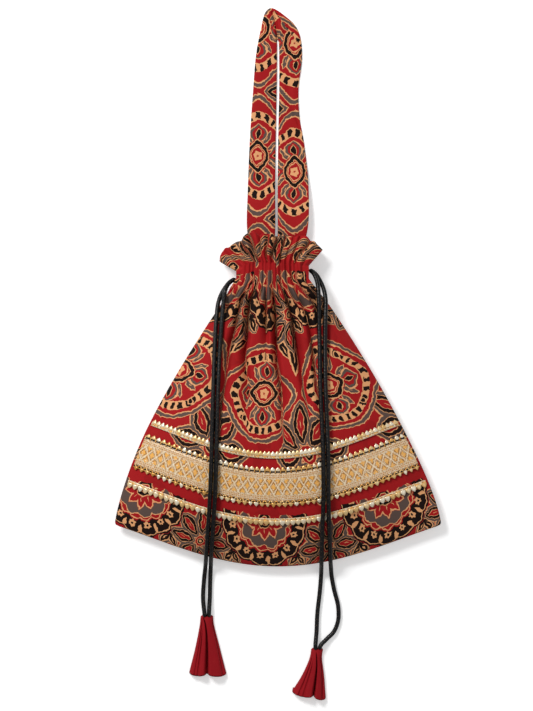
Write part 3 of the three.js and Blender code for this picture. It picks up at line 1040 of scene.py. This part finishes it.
class StageSettings(bpy.types.PropertyGroup):
    """Floor, lights and camera."""

    camera_height: length_property(
        "Camera height", "Height of the camera above the surface", 3.17, 0.5, 10
    )
    lens: length_property("Lens", "Focal length in millimetres", 200, 20, 400, "CAMERA")
    floor: colour_property("Floor", "Colour of the surface", (252, 252, 252))


def settings(name):
    return getattr(bpy.context.scene, name)


# Where the camera and the lamps look, in metres
VIEW_CENTRE = (-0.0092, -0.0552)
LAMP_TARGET = Vector((0, -0.05, 0))


def stage_lamp(name, place, size, power):
    """A square lamp that looks at the bag."""
    lamp = bpy.data.lights.new(name, "AREA")
    lamp.shape = "RECTANGLE"
    lamp.size = lamp.size_y = size
    lamp.energy = power
    holder = bpy.data.objects.new(name, lamp)
    holder.location = place
    holder.rotation_mode = "QUATERNION"
    holder.rotation_quaternion = (LAMP_TARGET - Vector(place)).to_track_quat("-Z", "Y")
    bpy.context.scene.collection.objects.link(holder)


class POTLI_OT_stage(bpy.types.Operator):
    """Make the floor, the lamps and the camera"""

    bl_idname = "potli.stage"
    bl_label = "Stage"

    def execute(self, context):
        scene = context.scene
        stage = settings("potli_stage")
        camera = bpy.data.objects.new("camera", bpy.data.cameras.new("camera"))
        camera.data.lens = stage.lens
        camera.data.sensor_width = 36
        camera.data.clip_end = 20
        camera.location = (*VIEW_CENTRE, stage.camera_height)
        camera.rotation_euler = (0, 0, 0)
        scene.collection.objects.link(camera)
        scene.camera = camera

        made = bmesh.new()
        bmesh.ops.create_grid(made, x_segments=1, y_segments=1, size=6)
        floor = finish_mesh("floor", made, smooth=False)
        material, tree, surface = new_material("floor")
        set_inputs(surface, {"Base Color": (*stage.floor, 1), "Emission Color": (1, 1, 1, 1)})
        set_inputs(surface, {"Roughness": 1, "Specular IOR Level": 0})
        sight = tree.nodes.new("ShaderNodeLightPath")
        lift = Value(tree, sight.outputs["Is Camera Ray"]) * 0.36
        tree.links.new(lift.socket, surface.inputs["Emission Strength"])
        floor.data.materials.append(material)

        stage_lamp("key lamp", (-1.1, 1.3, 1.7), 0.75, 42)
        stage_lamp("fill lamp", (1.5, -0.2, 1.7), 1.6, 5)
        world = bpy.data.worlds.new("studio")
        world.use_nodes = True
        set_inputs(world.node_tree.nodes["Background"], {"Color": (1, 1, 1, 1), "Strength": 0.31})
        scene.world = world
        scene.view_settings.view_transform = "Standard"
        return {"FINISHED"}


LEFT_ROUTE = [
    (-58.6, -265.4, 4.2), (-58.8, -262.8, 4.4), (-60.1, -250, 2.3), (-59.3, -235, 2.1),
    (-58.2, -225, 4.4), (-57.4, -215, 14.2), (-56.4, -202, 21.8), (-55, -182, 30.6),
    (-53.8, -162, 35.8), (-53.1, -141, 37.3), (-52.5, -119, 35.6), (-51.5, -84, 31.2),
    (-50.5, -52, 25.2), (-49.2, -27, 20.3), (-47.6, -13, 16), (-44.4, -4.6, 13),
    (-38.6, 3.4, 11.4), (-33.4, 6.2, 11.3), (-25, 6, 8.6), (-16, 6, 6.5), (0, 6, 6.4),
    (14, 6, 6.5), (19.2, 6, 8.4), (21, 6, 13.4), (19.2, 6, 18.4), (14, 6, 20.5), (0, 6, 20.5),
    (-16, 6, 20.4), (-25, 6, 18.4), (-33.4, 6.2, 15.2), (-37.4, 4.2, 15.4), (-40.6, 0.6, 17),
    (-42.4, -4.6, 19.6), (-43.4, -12, 20.6), (-44.8, -28, 23), (-46.3, -50, 26),
    (-47.6, -80, 31.4), (-48.6, -116, 35.9), (-49.1, -140, 37.9), (-49.8, -162, 36.7),
    (-51, -182, 31.4), (-52.4, -202, 22.6), (-53.4, -215, 14.8), (-53.9, -225, 4.6),
    (-54.3, -235, 2.1), (-54.7, -250, 2.3), (-55.2, -260, 3.9), (-55.4, -265.4, 4.2),
]
RIGHT_ROUTE = [
    (30.3, -291.6, 4.2), (30, -288.6, 4.4), (30.9, -277, 2.5), (31.6, -262, 2.1),
    (33.6, -244, 2.1), (34.6, -231, 2.6), (34.7, -225.5, 7.2), (34.7, -220, 14),
    (34.9, -207, 21.8), (35.4, -188, 31.2), (36, -167, 36.9), (35.9, -147, 38.9),
    (35.6, -129, 38.7), (34.8, -110, 36.6), (33.7, -84, 33.4), (33.1, -52, 28.4),
    (32.8, -30, 24.5), (32.5, -13, 23.2), (32, -1.5, 21), (30.8, 5.2, 17.8), (28.4, 10.4, 15.4),
    (24.8, 13.8, 14.9), (17, 14.4, 18.4), (8, 14.5, 20.4), (-9, 14.5, 20.5), (-23, 14.5, 20.5),
    (-28.2, 14.5, 18.4), (-30, 14.5, 13.4), (-28.2, 14.5, 8.4), (-23, 14.5, 6.5),
    (-9, 14.5, 6.4), (8, 14.5, 6.5), (17, 14.4, 8.6), (24.8, 13.8, 11.3), (30.2, 9.8, 11.4),
    (34.2, 3.4, 12.8), (37, -4, 15.8), (38.1, -12, 19), (37.8, -22, 22.6), (37.4, -50, 27),
    (37.8, -84, 33), (38.9, -110, 36), (39.6, -129, 38.3), (39.9, -147, 38.3), (40, -167, 36.6),
    (40.5, -188, 30.8), (41.4, -207, 21), (41.9, -219, 13.6), (42.4, -225, 7), (43, -232, 2.6),
    (45, -243, 2.1), (48.2, -256, 2.1), (48.2, -268, 2.1), (44.6, -277, 2.1), (39, -282.6, 2.8),
    (34, -288, 4.3), (33.2, -291.4, 4.2),
]
# Points of each route where the cord comes out of the casing
LEFT_EXITS = (17, 29)
RIGHT_EXITS = (21, 33)


def cord_tube(name, points, radius):
    """A round cord along points, with rounded ends. Its map is turns and length in hundreds."""
    route = Route(points)
    steps = max(12, round(route.length / 0.9))
    sides = 16
    centres = [route.along(i / steps) for i in range(steps + 1)]
    frames = []
    side = Vector((1, 0, 0))
    for i, centre in enumerate(centres):
        ahead = centres[min(i + 1, steps)] - centres[max(i - 1, 0)]
        ahead.normalize()
        side = (side - ahead * side.dot(ahead)).normalized()
        frames.append((centre, side, ahead.cross(side)))

    def place(s, t):
        centre, first, second = frames[round(t * steps)]
        end = min(t, 1 - t) * steps
        grip = radius * math.sqrt(clamp(end / 2))
        angle = 2 * math.pi * s
        return centre + (first * math.cos(angle) + second * math.sin(angle)) * grip

    def flat(s, t, _):
        return s, t * route.length

    piece = laid_grid(name, sides, steps, place, flat, close=True)
    return piece, [metres(point) for point in centres]


class POTLI_OT_cords(bpy.types.Operator):
    """Make both drawstrings: two free strands each and the length that the casing holds"""

    bl_idname = "potli.cords"
    bl_label = "Drawstrings"

    def execute(self, context):
        cord = settings("potli_cord")
        material = cord_material("satin cord", tuple(cord.colour))
        radius = cord.diameter / 2 / MM
        strands = (
            ("left", LEFT_ROUTE, LEFT_EXITS, ("outer_strand", "inner_strand")),
            ("right", RIGHT_ROUTE, RIGHT_EXITS, ("inner_strand", "outer_strand")),
        )
        for side, route, (out, back), labels in strands:
            runs = (route[out::-1], route[back:], route[out : back + 1])
            for label, points in zip((*labels, "casing_loop"), runs):
                piece, path = cord_tube(f"{side}_cord_{label}", points, radius)
                dress(piece, material, "black_cord", f"{side}_drawstring")
                if label == "casing_loop":
                    continue
                strand = Route(points)
        return {"FINISHED"}


TASSEL_HEIGHT = 9
LEFT_TASSEL = (
    [(-52, -263.4), (-51.6, -269.5), (-47, -288), (-41.4, -310)],
    [(-62, -263.4), (-62.6, -270), (-66, -288), (-71.2, -309.2)],
)
RIGHT_TASSEL = (
    [(36.4, -289.8), (35.4, -297), (37, -311), (38.4, -329.4)],
    [(26.8, -289.4), (25.6, -297), (19.6, -311), (11.4, -324.4)],
)
# Pleats: place across at the top and at the hem, share of the length where it starts, depth, width
LEFT_PLEATS = [
    (0.55, 0.04, 0.04, 7.5, 0.075),
    (0.4, 0.55, 0.35, 2.4, 0.05),
    (0.75, 0.7, 0.1, 1.6, 0.05),
    (-0.86, -0.84, 0.05, 1.6, 0.04),
]
RIGHT_PLEATS = [
    (0.2, -0.26, 0.12, 7.5, 0.06),
    (0.5, 0.34, 0.3, 1.4, 0.06),
    (0.75, 0.62, 0.2, 1.6, 0.05),
    (-0.7, -0.8, 0.15, 1.8, 0.05),
]


def tassel_cloth(name, edges, pleats, seed):
    """A cone of pleated cloth that lies on its back. The first pleat parts the hem in two."""
    right, left = Route(edges[0]), Route(edges[1])
    around, steps, lip = 132, 60, 5
    parting = pleats[0][1]

    def hem(u):
        low, high = (-1, parting) if u < parting else (parting, 1)
        middle, half = (low + high) / 2, (high - low) / 2
        return 2.8 * math.sqrt(clamp(1 - ((u - middle) / half) ** 2))

    def place(s, t):
        row = t * (steps + lip)
        share = min(row / steps, 1)
        inward = max(0, row - steps) / lip
        angle = 2 * math.pi * s
        across, rise = math.cos(angle), math.sin(angle)
        first, second = left.at(share), right.at(share)
        middle, half = (first + second) / 2, (first - second) / 2
        u = math.copysign(abs(across) ** 0.9, across)
        height = TASSEL_HEIGHT * (0.5 + 0.4 * share)
        root = height * 0.35
        crown = math.sqrt(clamp((row + 0.1) / 4)) if row < 4 else 1
        point = middle + half * u * (0.6 + 0.4 * crown) * (1 - 0.06 * inward)
        point.y -= hem(u) * share**6 * (1 - inward) - 4 * inward
        point.y += 0.5 * (1 - crown)
        if rise >= 0:
            top = height * rise**0.75
            for at_top, at_hem, start, depth, width in pleats:
                at = lerp(at_top, at_hem, smoothstep(share, 0, 0.55))
                fold = math.exp(-(((u - at) / (width * (0.6 + 0.6 * share))) ** 2))
                top -= depth * fold * smoothstep(share, start, start + 0.3) * min(1, rise * 2)
            top += 0.35 * ripple(point.x, point.y * 0.4, 5, seed) * rise
            z = max(0.5, top)
        else:
            z = 0.35 + 0.3 * abs(u)
        z = lerp(root, z, crown)
        z = lerp(z, root, 0.55 * inward)
        if row == 0:
            point, z = middle.copy(), root
        if row >= steps + lip:
            point, z = middle.copy() + Vector((0, 5, 0)), height * 0.3
        return point.x, point.y, z

    def flat(s, t, _):
        return s * 60, t * 50

    return laid_grid(name, around, steps + lip, place, flat, close=True)


class POTLI_OT_tassels(bpy.types.Operator):
    """Make the two cloth tassels"""

    bl_idname = "potli.tassels"
    bl_label = "Tassels"

    def execute(self, context):
        cloth = settings("potli_cloth")
        material = cotton("plain red cotton", plain_dye(tuple(cloth.tassel_red)))
        tassels = (
            ("left", LEFT_TASSEL, LEFT_PLEATS, 1.0),
            ("right", RIGHT_TASSEL, RIGHT_PLEATS, 2.3),
        )
        for side, edges, pleats, seed in tassels:
            tassel = tassel_cloth(f"{side}_tassel_cloth", edges, pleats, seed)
            dress(tassel, material, "red_cotton", f"{side}_tassel")
        return {"FINISHED"}


def panel_rows():
    rows = [lerp(HEM_Y, NECK_Y, i / BODY_ROWS) for i in range(BODY_ROWS)]
    rows += [lerp(NECK_Y, CASING_TOP_Y, i / CASING_ROWS) for i in range(CASING_ROWS)]
    rows += [lerp(CASING_TOP_Y, RUFFLE_EDGE_Y, i / RUFFLE_ROWS) for i in range(RUFFLE_ROWS + 1)]
    return rows


def panel_cloth(name, columns, height, fold_rows, ruffle_reach, direction):
    rows = panel_rows()
    last = len(rows) - 1

    def place(s, t):
        u, v = 2 * s - 1, rows[round(t * last)]
        x, y = panel_point(u, v, ruffle_reach)
        ruffle = ruffle_share(v)
        if ruffle:
            folds = fold_depth(fold_rows, u, RUFFLE_EDGE_Y) * (1 - u**4)
            y += ruffle * (0.9 * math.sin(23 * u + 1.2) * (1 - u**4) - 0.45 * min(folds, 6))
        return x, y, height(u, v)

    def flat(s, t, _):
        return flat_cloth(fold_rows, 2 * s - 1, rows[round(t * last)])

    piece = laid_grid(name, columns, last, place, flat)
    face_outwards(piece, Vector((0, 0, direction)))
    return piece


class POTLI_OT_panels(bpy.types.Operator):
    """Make the front and the back panel with their gathers and the ruffle"""

    bl_idname = "potli.panels"
    bl_label = "Panels"

    def execute(self, context):
        cloth = settings("potli_cloth")
        material = cotton("printed cotton", bpy.data.node_groups["block print"])
        front = panel_cloth("front_cloth", FRONT_COLUMNS, front_height, front_fold_rows, 1.0, 1)
        back = panel_cloth(
            "back_cloth", BACK_COLUMNS, back_height, back_fold_rows, BACK_RUFFLE_SHARE, -1
        )
        for piece, slot_node in ((front, "front_panel"), (back, "back_panel")):
            thicken(piece, cloth.thickness / MM)
            dress(piece, material, "printed_cotton", slot_node)
        tunnel = casing_cotton()
        for name in ("front_casing_strip", "back_casing_strip"):
            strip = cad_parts[name]
            strip.data.materials.clear()
            strip.data.materials.append(tunnel)
        return {"FINISHED"}


def casing_cotton():
    material, _, surface = new_material("casing cotton")
    set_inputs(surface, {"Base Color": (*settings("potli_cloth").red, 1), "Roughness": 0.85})
    return material


STRAP_THICKNESS = 2.2
STRAP_MOUTH = 7
STRAP_END = 5.2
STRAP_END_Y = 22
STRAP_LIFT = (46, 105)
# Share of the strap's length where it turns over, and how far its crumple reaches
STRAP_TURN = 0.46
TURN_REACH = 0.1
STRAP_OUTER = [
    (-20, STRAP_END_Y), (-24.6, 44), (-24.2, 77), (-22.6, 118), (-20, 157), (-17.6, 186),
    (-14.4, 203.6), (-9.6, 221), (-5.2, 223.6), (6.8, 216.4), (14.4, 208.8), (18.1, 199.6),
    (19.4, 184), (16.6, 159), (17.4, 136), (21.3, 113), (24.6, 80), (23, 42), (14, STRAP_END_Y),
]
STRAP_INNER = [
    (-4, STRAP_END_Y), (-2.2, 44), (-2.2, 77), (-1.7, 118), (-1, 157), (-0.7, 182), (-0.7, 193),
    (-0.6, 196.6), (-0.2, 198), (0.3, 196.8), (0.7, 195), (0.9, 191), (1, 182), (1, 157),
    (0.5, 136), (0.1, 113), (-0.3, 80), (-0.3, 42), (-1.4, STRAP_END_Y),
]
# Creases of the strap: start, end, depth and width in millimetres
STRAP_CREASES = [
    ((-4.7, 221), (-1.5, 213), 2.2, 1.0),
    ((-1.5, 213), (-0.2, 196), 2.6, 1.1),
    ((-1.7, 219.5), (8, 206), 1.8, 0.8),
    ((8, 206), (18, 192), 1.4, 0.8),
    ((-9, 214), (-5.5, 202), 1.2, 0.8),
    ((-6.4, 217), (-4, 205), 1.2, 0.7),
    ((-13, 206), (-4, 199), 0.7, 1.0),
    ((8, 165), (11, 146), 1.7, 1.2),
    ((11, 146), (17.5, 128), 1.2, 1.2),
    ((-5.6, 192), (-5.2, 60), 0.5, 0.8),
    ((-21, 120), (-8, 131), 0.3, 1.6),
    ((-23, 66), (-9, 60), 0.35, 1.6),
    ((5, 72), (20, 80), 0.35, 1.6),
    ((4, 46), (21, 58), 0.5, 1.4),
    ((-22, 48), (-8, 52), 0.4, 1.4),
]


def segment_distance(x, y, start, end):
    ax, ay = start
    bx, by = end[0] - ax, end[1] - ay
    share = clamp(((x - ax) * bx + (y - ay) * by) / (bx * bx + by * by))
    return math.hypot(x - ax - share * bx, y - ay - share * by), share


def strap_cloth(name):
    outer, inner = Route(STRAP_OUTER), Route(STRAP_INNER)
    around, steps = 48, 300

    def point_at(s, t):
        share = (t * steps - 1) / (steps - 2)
        closed = share < -1e-6 or share > 1 + 1e-6
        share = clamp(share)
        angle = 2 * math.pi * s
        across, rise = math.cos(angle), math.sin(angle)
        u = 0 if closed else math.copysign(abs(across) ** 0.55, across)
        point = outer.at(share).lerp(inner.at(share), (u + 1) / 2)
        return point, u, 0 if closed else rise, share

    def place(s, t):
        point, u, rise, share = point_at(s, t)
        lift = 1 - smoothstep(point.y, *STRAP_LIFT)
        sink = 1 - smoothstep(point.y, STRAP_END_Y, STRAP_LIFT[0])
        base = lerp(STRAP_MOUTH * lift, STRAP_END, sink)
        near = math.exp(-(((share - STRAP_TURN) / TURN_REACH) ** 2))
        if rise > 0:
            x, y = point.xy
            crumple = 1.6 * near * (0.5 + 0.5 * math.cos(64 * share)) * (0.4 + 0.6 * (1 - u * u))
            top = (STRAP_THICKNESS + crumple) * rise**0.35
            top += 0.25 * ripple(x, y, 11, 1.7) + 0.5 * near * ripple(x, y, 4, 6.1)
            for start, end, depth, width in STRAP_CREASES:
                distance, along = segment_distance(x, y, start, end)
                fade = min(1, 4 * along * (1 - along) + 0.35)
                top -= depth * math.exp(-((distance / width) ** 2)) * fade
            height = max(0.25, top)
        else:
            height = 0.12 * (1 + rise)
        return point.x, point.y, base + height

    def flat(s, t, middle):
        # Each leg keeps its own straight run of the print, and so does the folded corner
        x, y = place(s, t)[:2]
        near_x, near_y = place(*middle)[:2]
        if near_x < lerp(-0.1, -4.7, clamp((near_y - 200) / 22)):
            return y - 116, 109 - x
        if near_y - 220 > (near_x + 1.7) * -1.38:
            return 0.8 * x - 0.6 * y, 0.6 * x + 0.8 * y - 18
        return 81 - y, 112 + x

    return laid_grid(name, around, steps, place, flat, close=True)


class POTLI_OT_strap(bpy.types.Operator):
    """Make the handle strap, which turns over at its top"""

    bl_idname = "potli.strap"
    bl_label = "Strap"

    def execute(self, context):
        material = cotton("strap cotton", bpy.data.node_groups["block print"])
        strap = strap_cloth("strap_cloth")
        dress(strap, material, "strap_cotton", "handle_strap")
        return {"FINISHED"}


# Lace bands

TRIM_SPREAD = 1 - 2 / HEM_HALF_WIDTH
TRIM_LIFT = 0.45
TRIM_FLOOR = 0.06
BACK_TRIM_LIMIT = 0.95
BAND_COLUMNS = 260
DROP_ROOT = 2.3
THREAD = 0.8


def on_front(u, v, lift):
    x, y = body_point(u, v)
    return Vector((x, y, front_height(u, v) + TRIM_LIFT + lift))


def on_back(u, v, lift):
    x, y = body_point(u, v)
    height = back_height(u, v) - CLEARANCE - min(lift, BACK_TRIM_LIMIT)
    return Vector((x, y, max(TRIM_FLOOR, height)))


def band_cloth(name, surface, low, high, thickness, rows, direction, shaded_strip=0.0):
    """A woven band between two heights, with rounded long edges. The last argument is the width
    along each long edge that lies flat under the ladder, where the lace paints a dark strip as
    painted shade.
    """
    def place(s, t):
        u = (2 * s - 1) * TRIM_SPREAD
        edge = min(t, 1 - t) * (high - low) - shaded_strip
        lift = thickness * smoothstep(edge, -0.5, 0.4) + 0.12
        return surface(u, lerp(low, high, t), lift)

    def flat(s, t, _):
        return s * (2 * HEM_HALF_WIDTH), (t - 0.5) * (high - low)

    piece = laid_grid(name, BAND_COLUMNS, rows, place, flat)
    face_outwards(piece, Vector((0, 0, direction)))
    return piece


def add_drop(made, tone_layer, centre, across, up, out, size, tone, shape):
    """One small foil drop, tooth or pearl."""
    width, length, height = size
    point = 1.5 if shape == "tooth" else 2.3
    found = bmesh.ops.create_icosphere(made, subdivisions=2, radius=1)
    for vert in found["verts"]:
        x, y, z = vert.co
        taper = 1
        if y > 0:
            taper = (1 - y**point) / math.sqrt(max(1 - y * y, 0.02))
        else:
            y *= 0.3
        shift = across * (x * width * taper) + up * (y * length) + out * (z * height * taper)
        vert.co = centre + shift * MM
        # The drop's own tone, with a painted highlight on its outer face and painted shade towards
        # the cloth
        vert[tone_layer] = clamp(tone + 0.25 * z - 0.1)


def add_bar(made, tone_layer, start, end, out, width, tone):
    """A short thread between two points."""
    ahead = (end - start).normalized()
    side = ahead.cross(out).normalized()
    found = bmesh.ops.create_cube(made, size=1)
    middle, length = (start + end) / 2, (end - start).length
    for vert in found["verts"]:
        x, y, z = vert.co
        vert.co = middle + side * (x * width * MM) + ahead * (y * length) + out * (z * width * MM)
        vert[tone_layer] = tone


def edge_frame(surface, u, v, lift, direction):
    """Point on a band, with its directions along, up and out."""
    here = surface(u, v, lift)
    along = (surface(u + 0.004, v, lift) - surface(u - 0.004, v, lift)).normalized()
    up = (surface(u, v + 0.8, lift) - surface(u, v - 0.8, lift)).normalized()
    out = along.cross(up).normalized()
    return metres(here), along, up, out * direction


def drops_piece(name, rows):
    """Rows of drops on one mesh. rows: function that adds each."""
    made = bmesh.new()
    tone_layer = made.verts.layers.float.new("tone")
    for add_row in rows:
        add_row(made, tone_layer)
    bmesh.ops.recalc_face_normals(made, faces=made.faces)
    return finish_mesh(name, made)


def lace_edging(surface, edge, away, count, thickness, direction, depth):
    """A ladder of threads and the drops beyond it."""
    # Posts along the upper edge, threads in a zigzag along the lower one
    leans = (0,) if away > 0 else (-1, 1)
    tones = (0.3, 0.5, 0.75, 0.95, 1) if away > 0 else (0.1, 0.25, 0.4, 0.6, 0.9)
    rail = edge + away * LADDER
    rail_steps = count * 4

    def at(u, v):
        return edge_frame(surface, u, v, thickness, direction)

    def add(made, tone_layer):
        chance = random.Random(7 + int(edge * 10) % 97)

        def thread(start, end, out, low, high):
            add_bar(made, tone_layer, start, end, out, THREAD, chance.uniform(low, high))

        for i in range(count + 1):
            u = (i / count * 2 - 1) * TRIM_SPREAD * 0.997
            start, _, _, out = at(u, edge)
            for lean in leans:
                reach = u + lean / count * TRIM_SPREAD
                if abs(reach) < TRIM_SPREAD:
                    thread(start, at(reach, rail)[0], out, 0.1, 0.6)
        last = None
        for i in range(rail_steps + 1):
            point, _, _, out = at((i / rail_steps * 2 - 1) * TRIM_SPREAD, rail)
            if last is not None:
                thread(last, point, out, 0.05, 0.45)
            last = point
        for i in range(count):
            u = ((i + 0.5) / count * 2 - 1) * TRIM_SPREAD
            point, along, up, out = at(u, edge + away * DROP_ROOT)
            tone = chance.choice(tones)
            size = (2.2 * chance.uniform(0.8, 1.1), 2.9 * chance.uniform(0.85, 1.05), depth)
            add_drop(made, tone_layer, point, along, up * away, out, size, tone, "tooth")

    return add


def tooth_row(surface, at, away, count, thickness, direction, size, shape, seed):
    def add(made, tone_layer):
        chance = random.Random(seed)
        for i in range(count):
            u = ((i + 0.5) / count * 2 - 1) * TRIM_SPREAD
            point, along, up, out = edge_frame(surface, u, at, thickness, direction)
            tone = chance.uniform(0.4, 1)
            add_drop(made, tone_layer, point, along, up * away, out, size, tone, shape)

    return add


class POTLI_OT_trims(bpy.types.Operator):
    """Make the wide lace and the two narrow trims, front and back"""

    bl_idname = "potli.trims"
    bl_label = "Lace"

    def execute(self, context):
        trim = settings("potli_trim")
        colours = (trim.gold, trim.silver, trim.amber, trim.pearl)
        gold, silver, amber, pearl = (tuple(colour) for colour in colours)
        group = gota_weave(gold, silver, amber)
        wide = lace_material("gota lace", group, 9.8)
        narrow = lace_material("gota braid", group, 1.3)
        foils = [linear(tone) for tone in ((190, 120, 44), (224, 166, 84), (240, 206, 146))]
        foil = bead_material("foil drops", [*foils, pearl])
        faces = (("front", on_front, 1, 0.9, 0.7), ("back", on_back, -1, 0.7, 0.3))
        for side, surface, direction, thickness, depth in faces:
            common = (trim.drops, thickness, direction, depth)
            # The wide band reaches under each ladder, where it lies flat and its colour is a dark
            # strip of painted shade for the ladder's gaps
            low, high = LACE_LOWER_Y - LADDER, LACE_UPPER_Y + LADDER
            band = f"{side}_lace_band"
            lace = band_cloth(band, surface, low, high, thickness, 50, direction, LADDER)
            dress(lace, wide, "gold_lace", f"{side}_wide_lace")
            edges = ((LACE_UPPER_Y, 1), (LACE_LOWER_Y, -1))
            edgings = [lace_edging(surface, edge, away, *common) for edge, away in edges]
            edging = drops_piece(f"{side}_lace_drops", edgings)
            dress(edging, foil, "gold_lace", f"{side}_wide_lace")
            tooth, pearl_size = (2.3, UPPER_TOOTH, depth), (2.4, LOWER_PEARL - 0.4, depth)
            braids = (
                ("upper", UPPER_BRAID_Y, 1, trim.teeth, "tooth", tooth, -0.2),
                ("lower", LOWER_BRAID_Y, -1, trim.pearls, "pearl", pearl_size, 0.2 - BRAID_WIDTH),
            )
            for label, high, away, count, shape, size, reach in braids:
                trim_node, name = f"{side}_{label}_trim", f"{side}_{label}_braid"
                low = high - BRAID_WIDTH
                braid = band_cloth(name, surface, low, high, thickness, 6, direction)
                dress(braid, narrow, "gold_lace", trim_node)
                place = (high + reach, away, count, thickness, direction)
                row = tooth_row(surface, *place, size, shape, 11)
                teeth = drops_piece(f"{side}_{label}_{shape}s", [row])
                dress(teeth, foil, "gold_lace", trim_node)
        return {"FINISHED"}


class POTLI_OT_patterns(bpy.types.Operator):
    """Make the print and the weave that the cloth pieces share"""

    bl_idname = "potli.patterns"
    bl_label = "Patterns"

    def execute(self, context):
        cloth = settings("potli_cloth")
        block_print([tuple(colour) for colour in (cloth.red, cloth.black, cloth.grey, cloth.tan)])
        weave()
        return {"FINISHED"}


class POTLI_PT_panel(bpy.types.Panel):
    """Buttons and settings of the bag"""

    bl_idname = "POTLI_PT_panel"
    bl_label = "Potli bag"
    bl_space_type = "VIEW_3D"
    bl_region_type = "UI"
    bl_category = "Potli bag"

    def draw(self, context):
        for group, holder in SETTINGS.items():
            box = self.layout.box()
            for name in holder.__annotations__:
                box.prop(getattr(context.scene, group), name)
        for operator in OPERATORS:
            self.layout.operator(operator.bl_idname)


SETTINGS = {
    "potli_cloth": ClothSettings,
    "potli_trim": TrimSettings,
    "potli_cord": CordSettings,
    "potli_stage": StageSettings,
}
OPERATORS = (
    POTLI_OT_stage,
    POTLI_OT_patterns,
    POTLI_OT_tassels,
    POTLI_OT_cords,
    POTLI_OT_panels,
    POTLI_OT_strap,
    POTLI_OT_trims,
)


def register():
    for made in (*SETTINGS.values(), *OPERATORS, POTLI_PT_panel):
        bpy.utils.register_class(made)
    for name, holder in SETTINGS.items():
        setattr(bpy.types.Scene, name, bpy.props.PointerProperty(type=holder))


def unregister():
    for name in SETTINGS:
        delattr(bpy.types.Scene, name)
    for made in (POTLI_PT_panel, *reversed(OPERATORS), *SETTINGS.values()):
        bpy.utils.unregister_class(made)


def main():
    register()
    for operator in OPERATORS:
        group, name = operator.bl_idname.split(".")
        getattr(getattr(bpy.ops, group), name)()


if __name__ == "__main__":
    main()
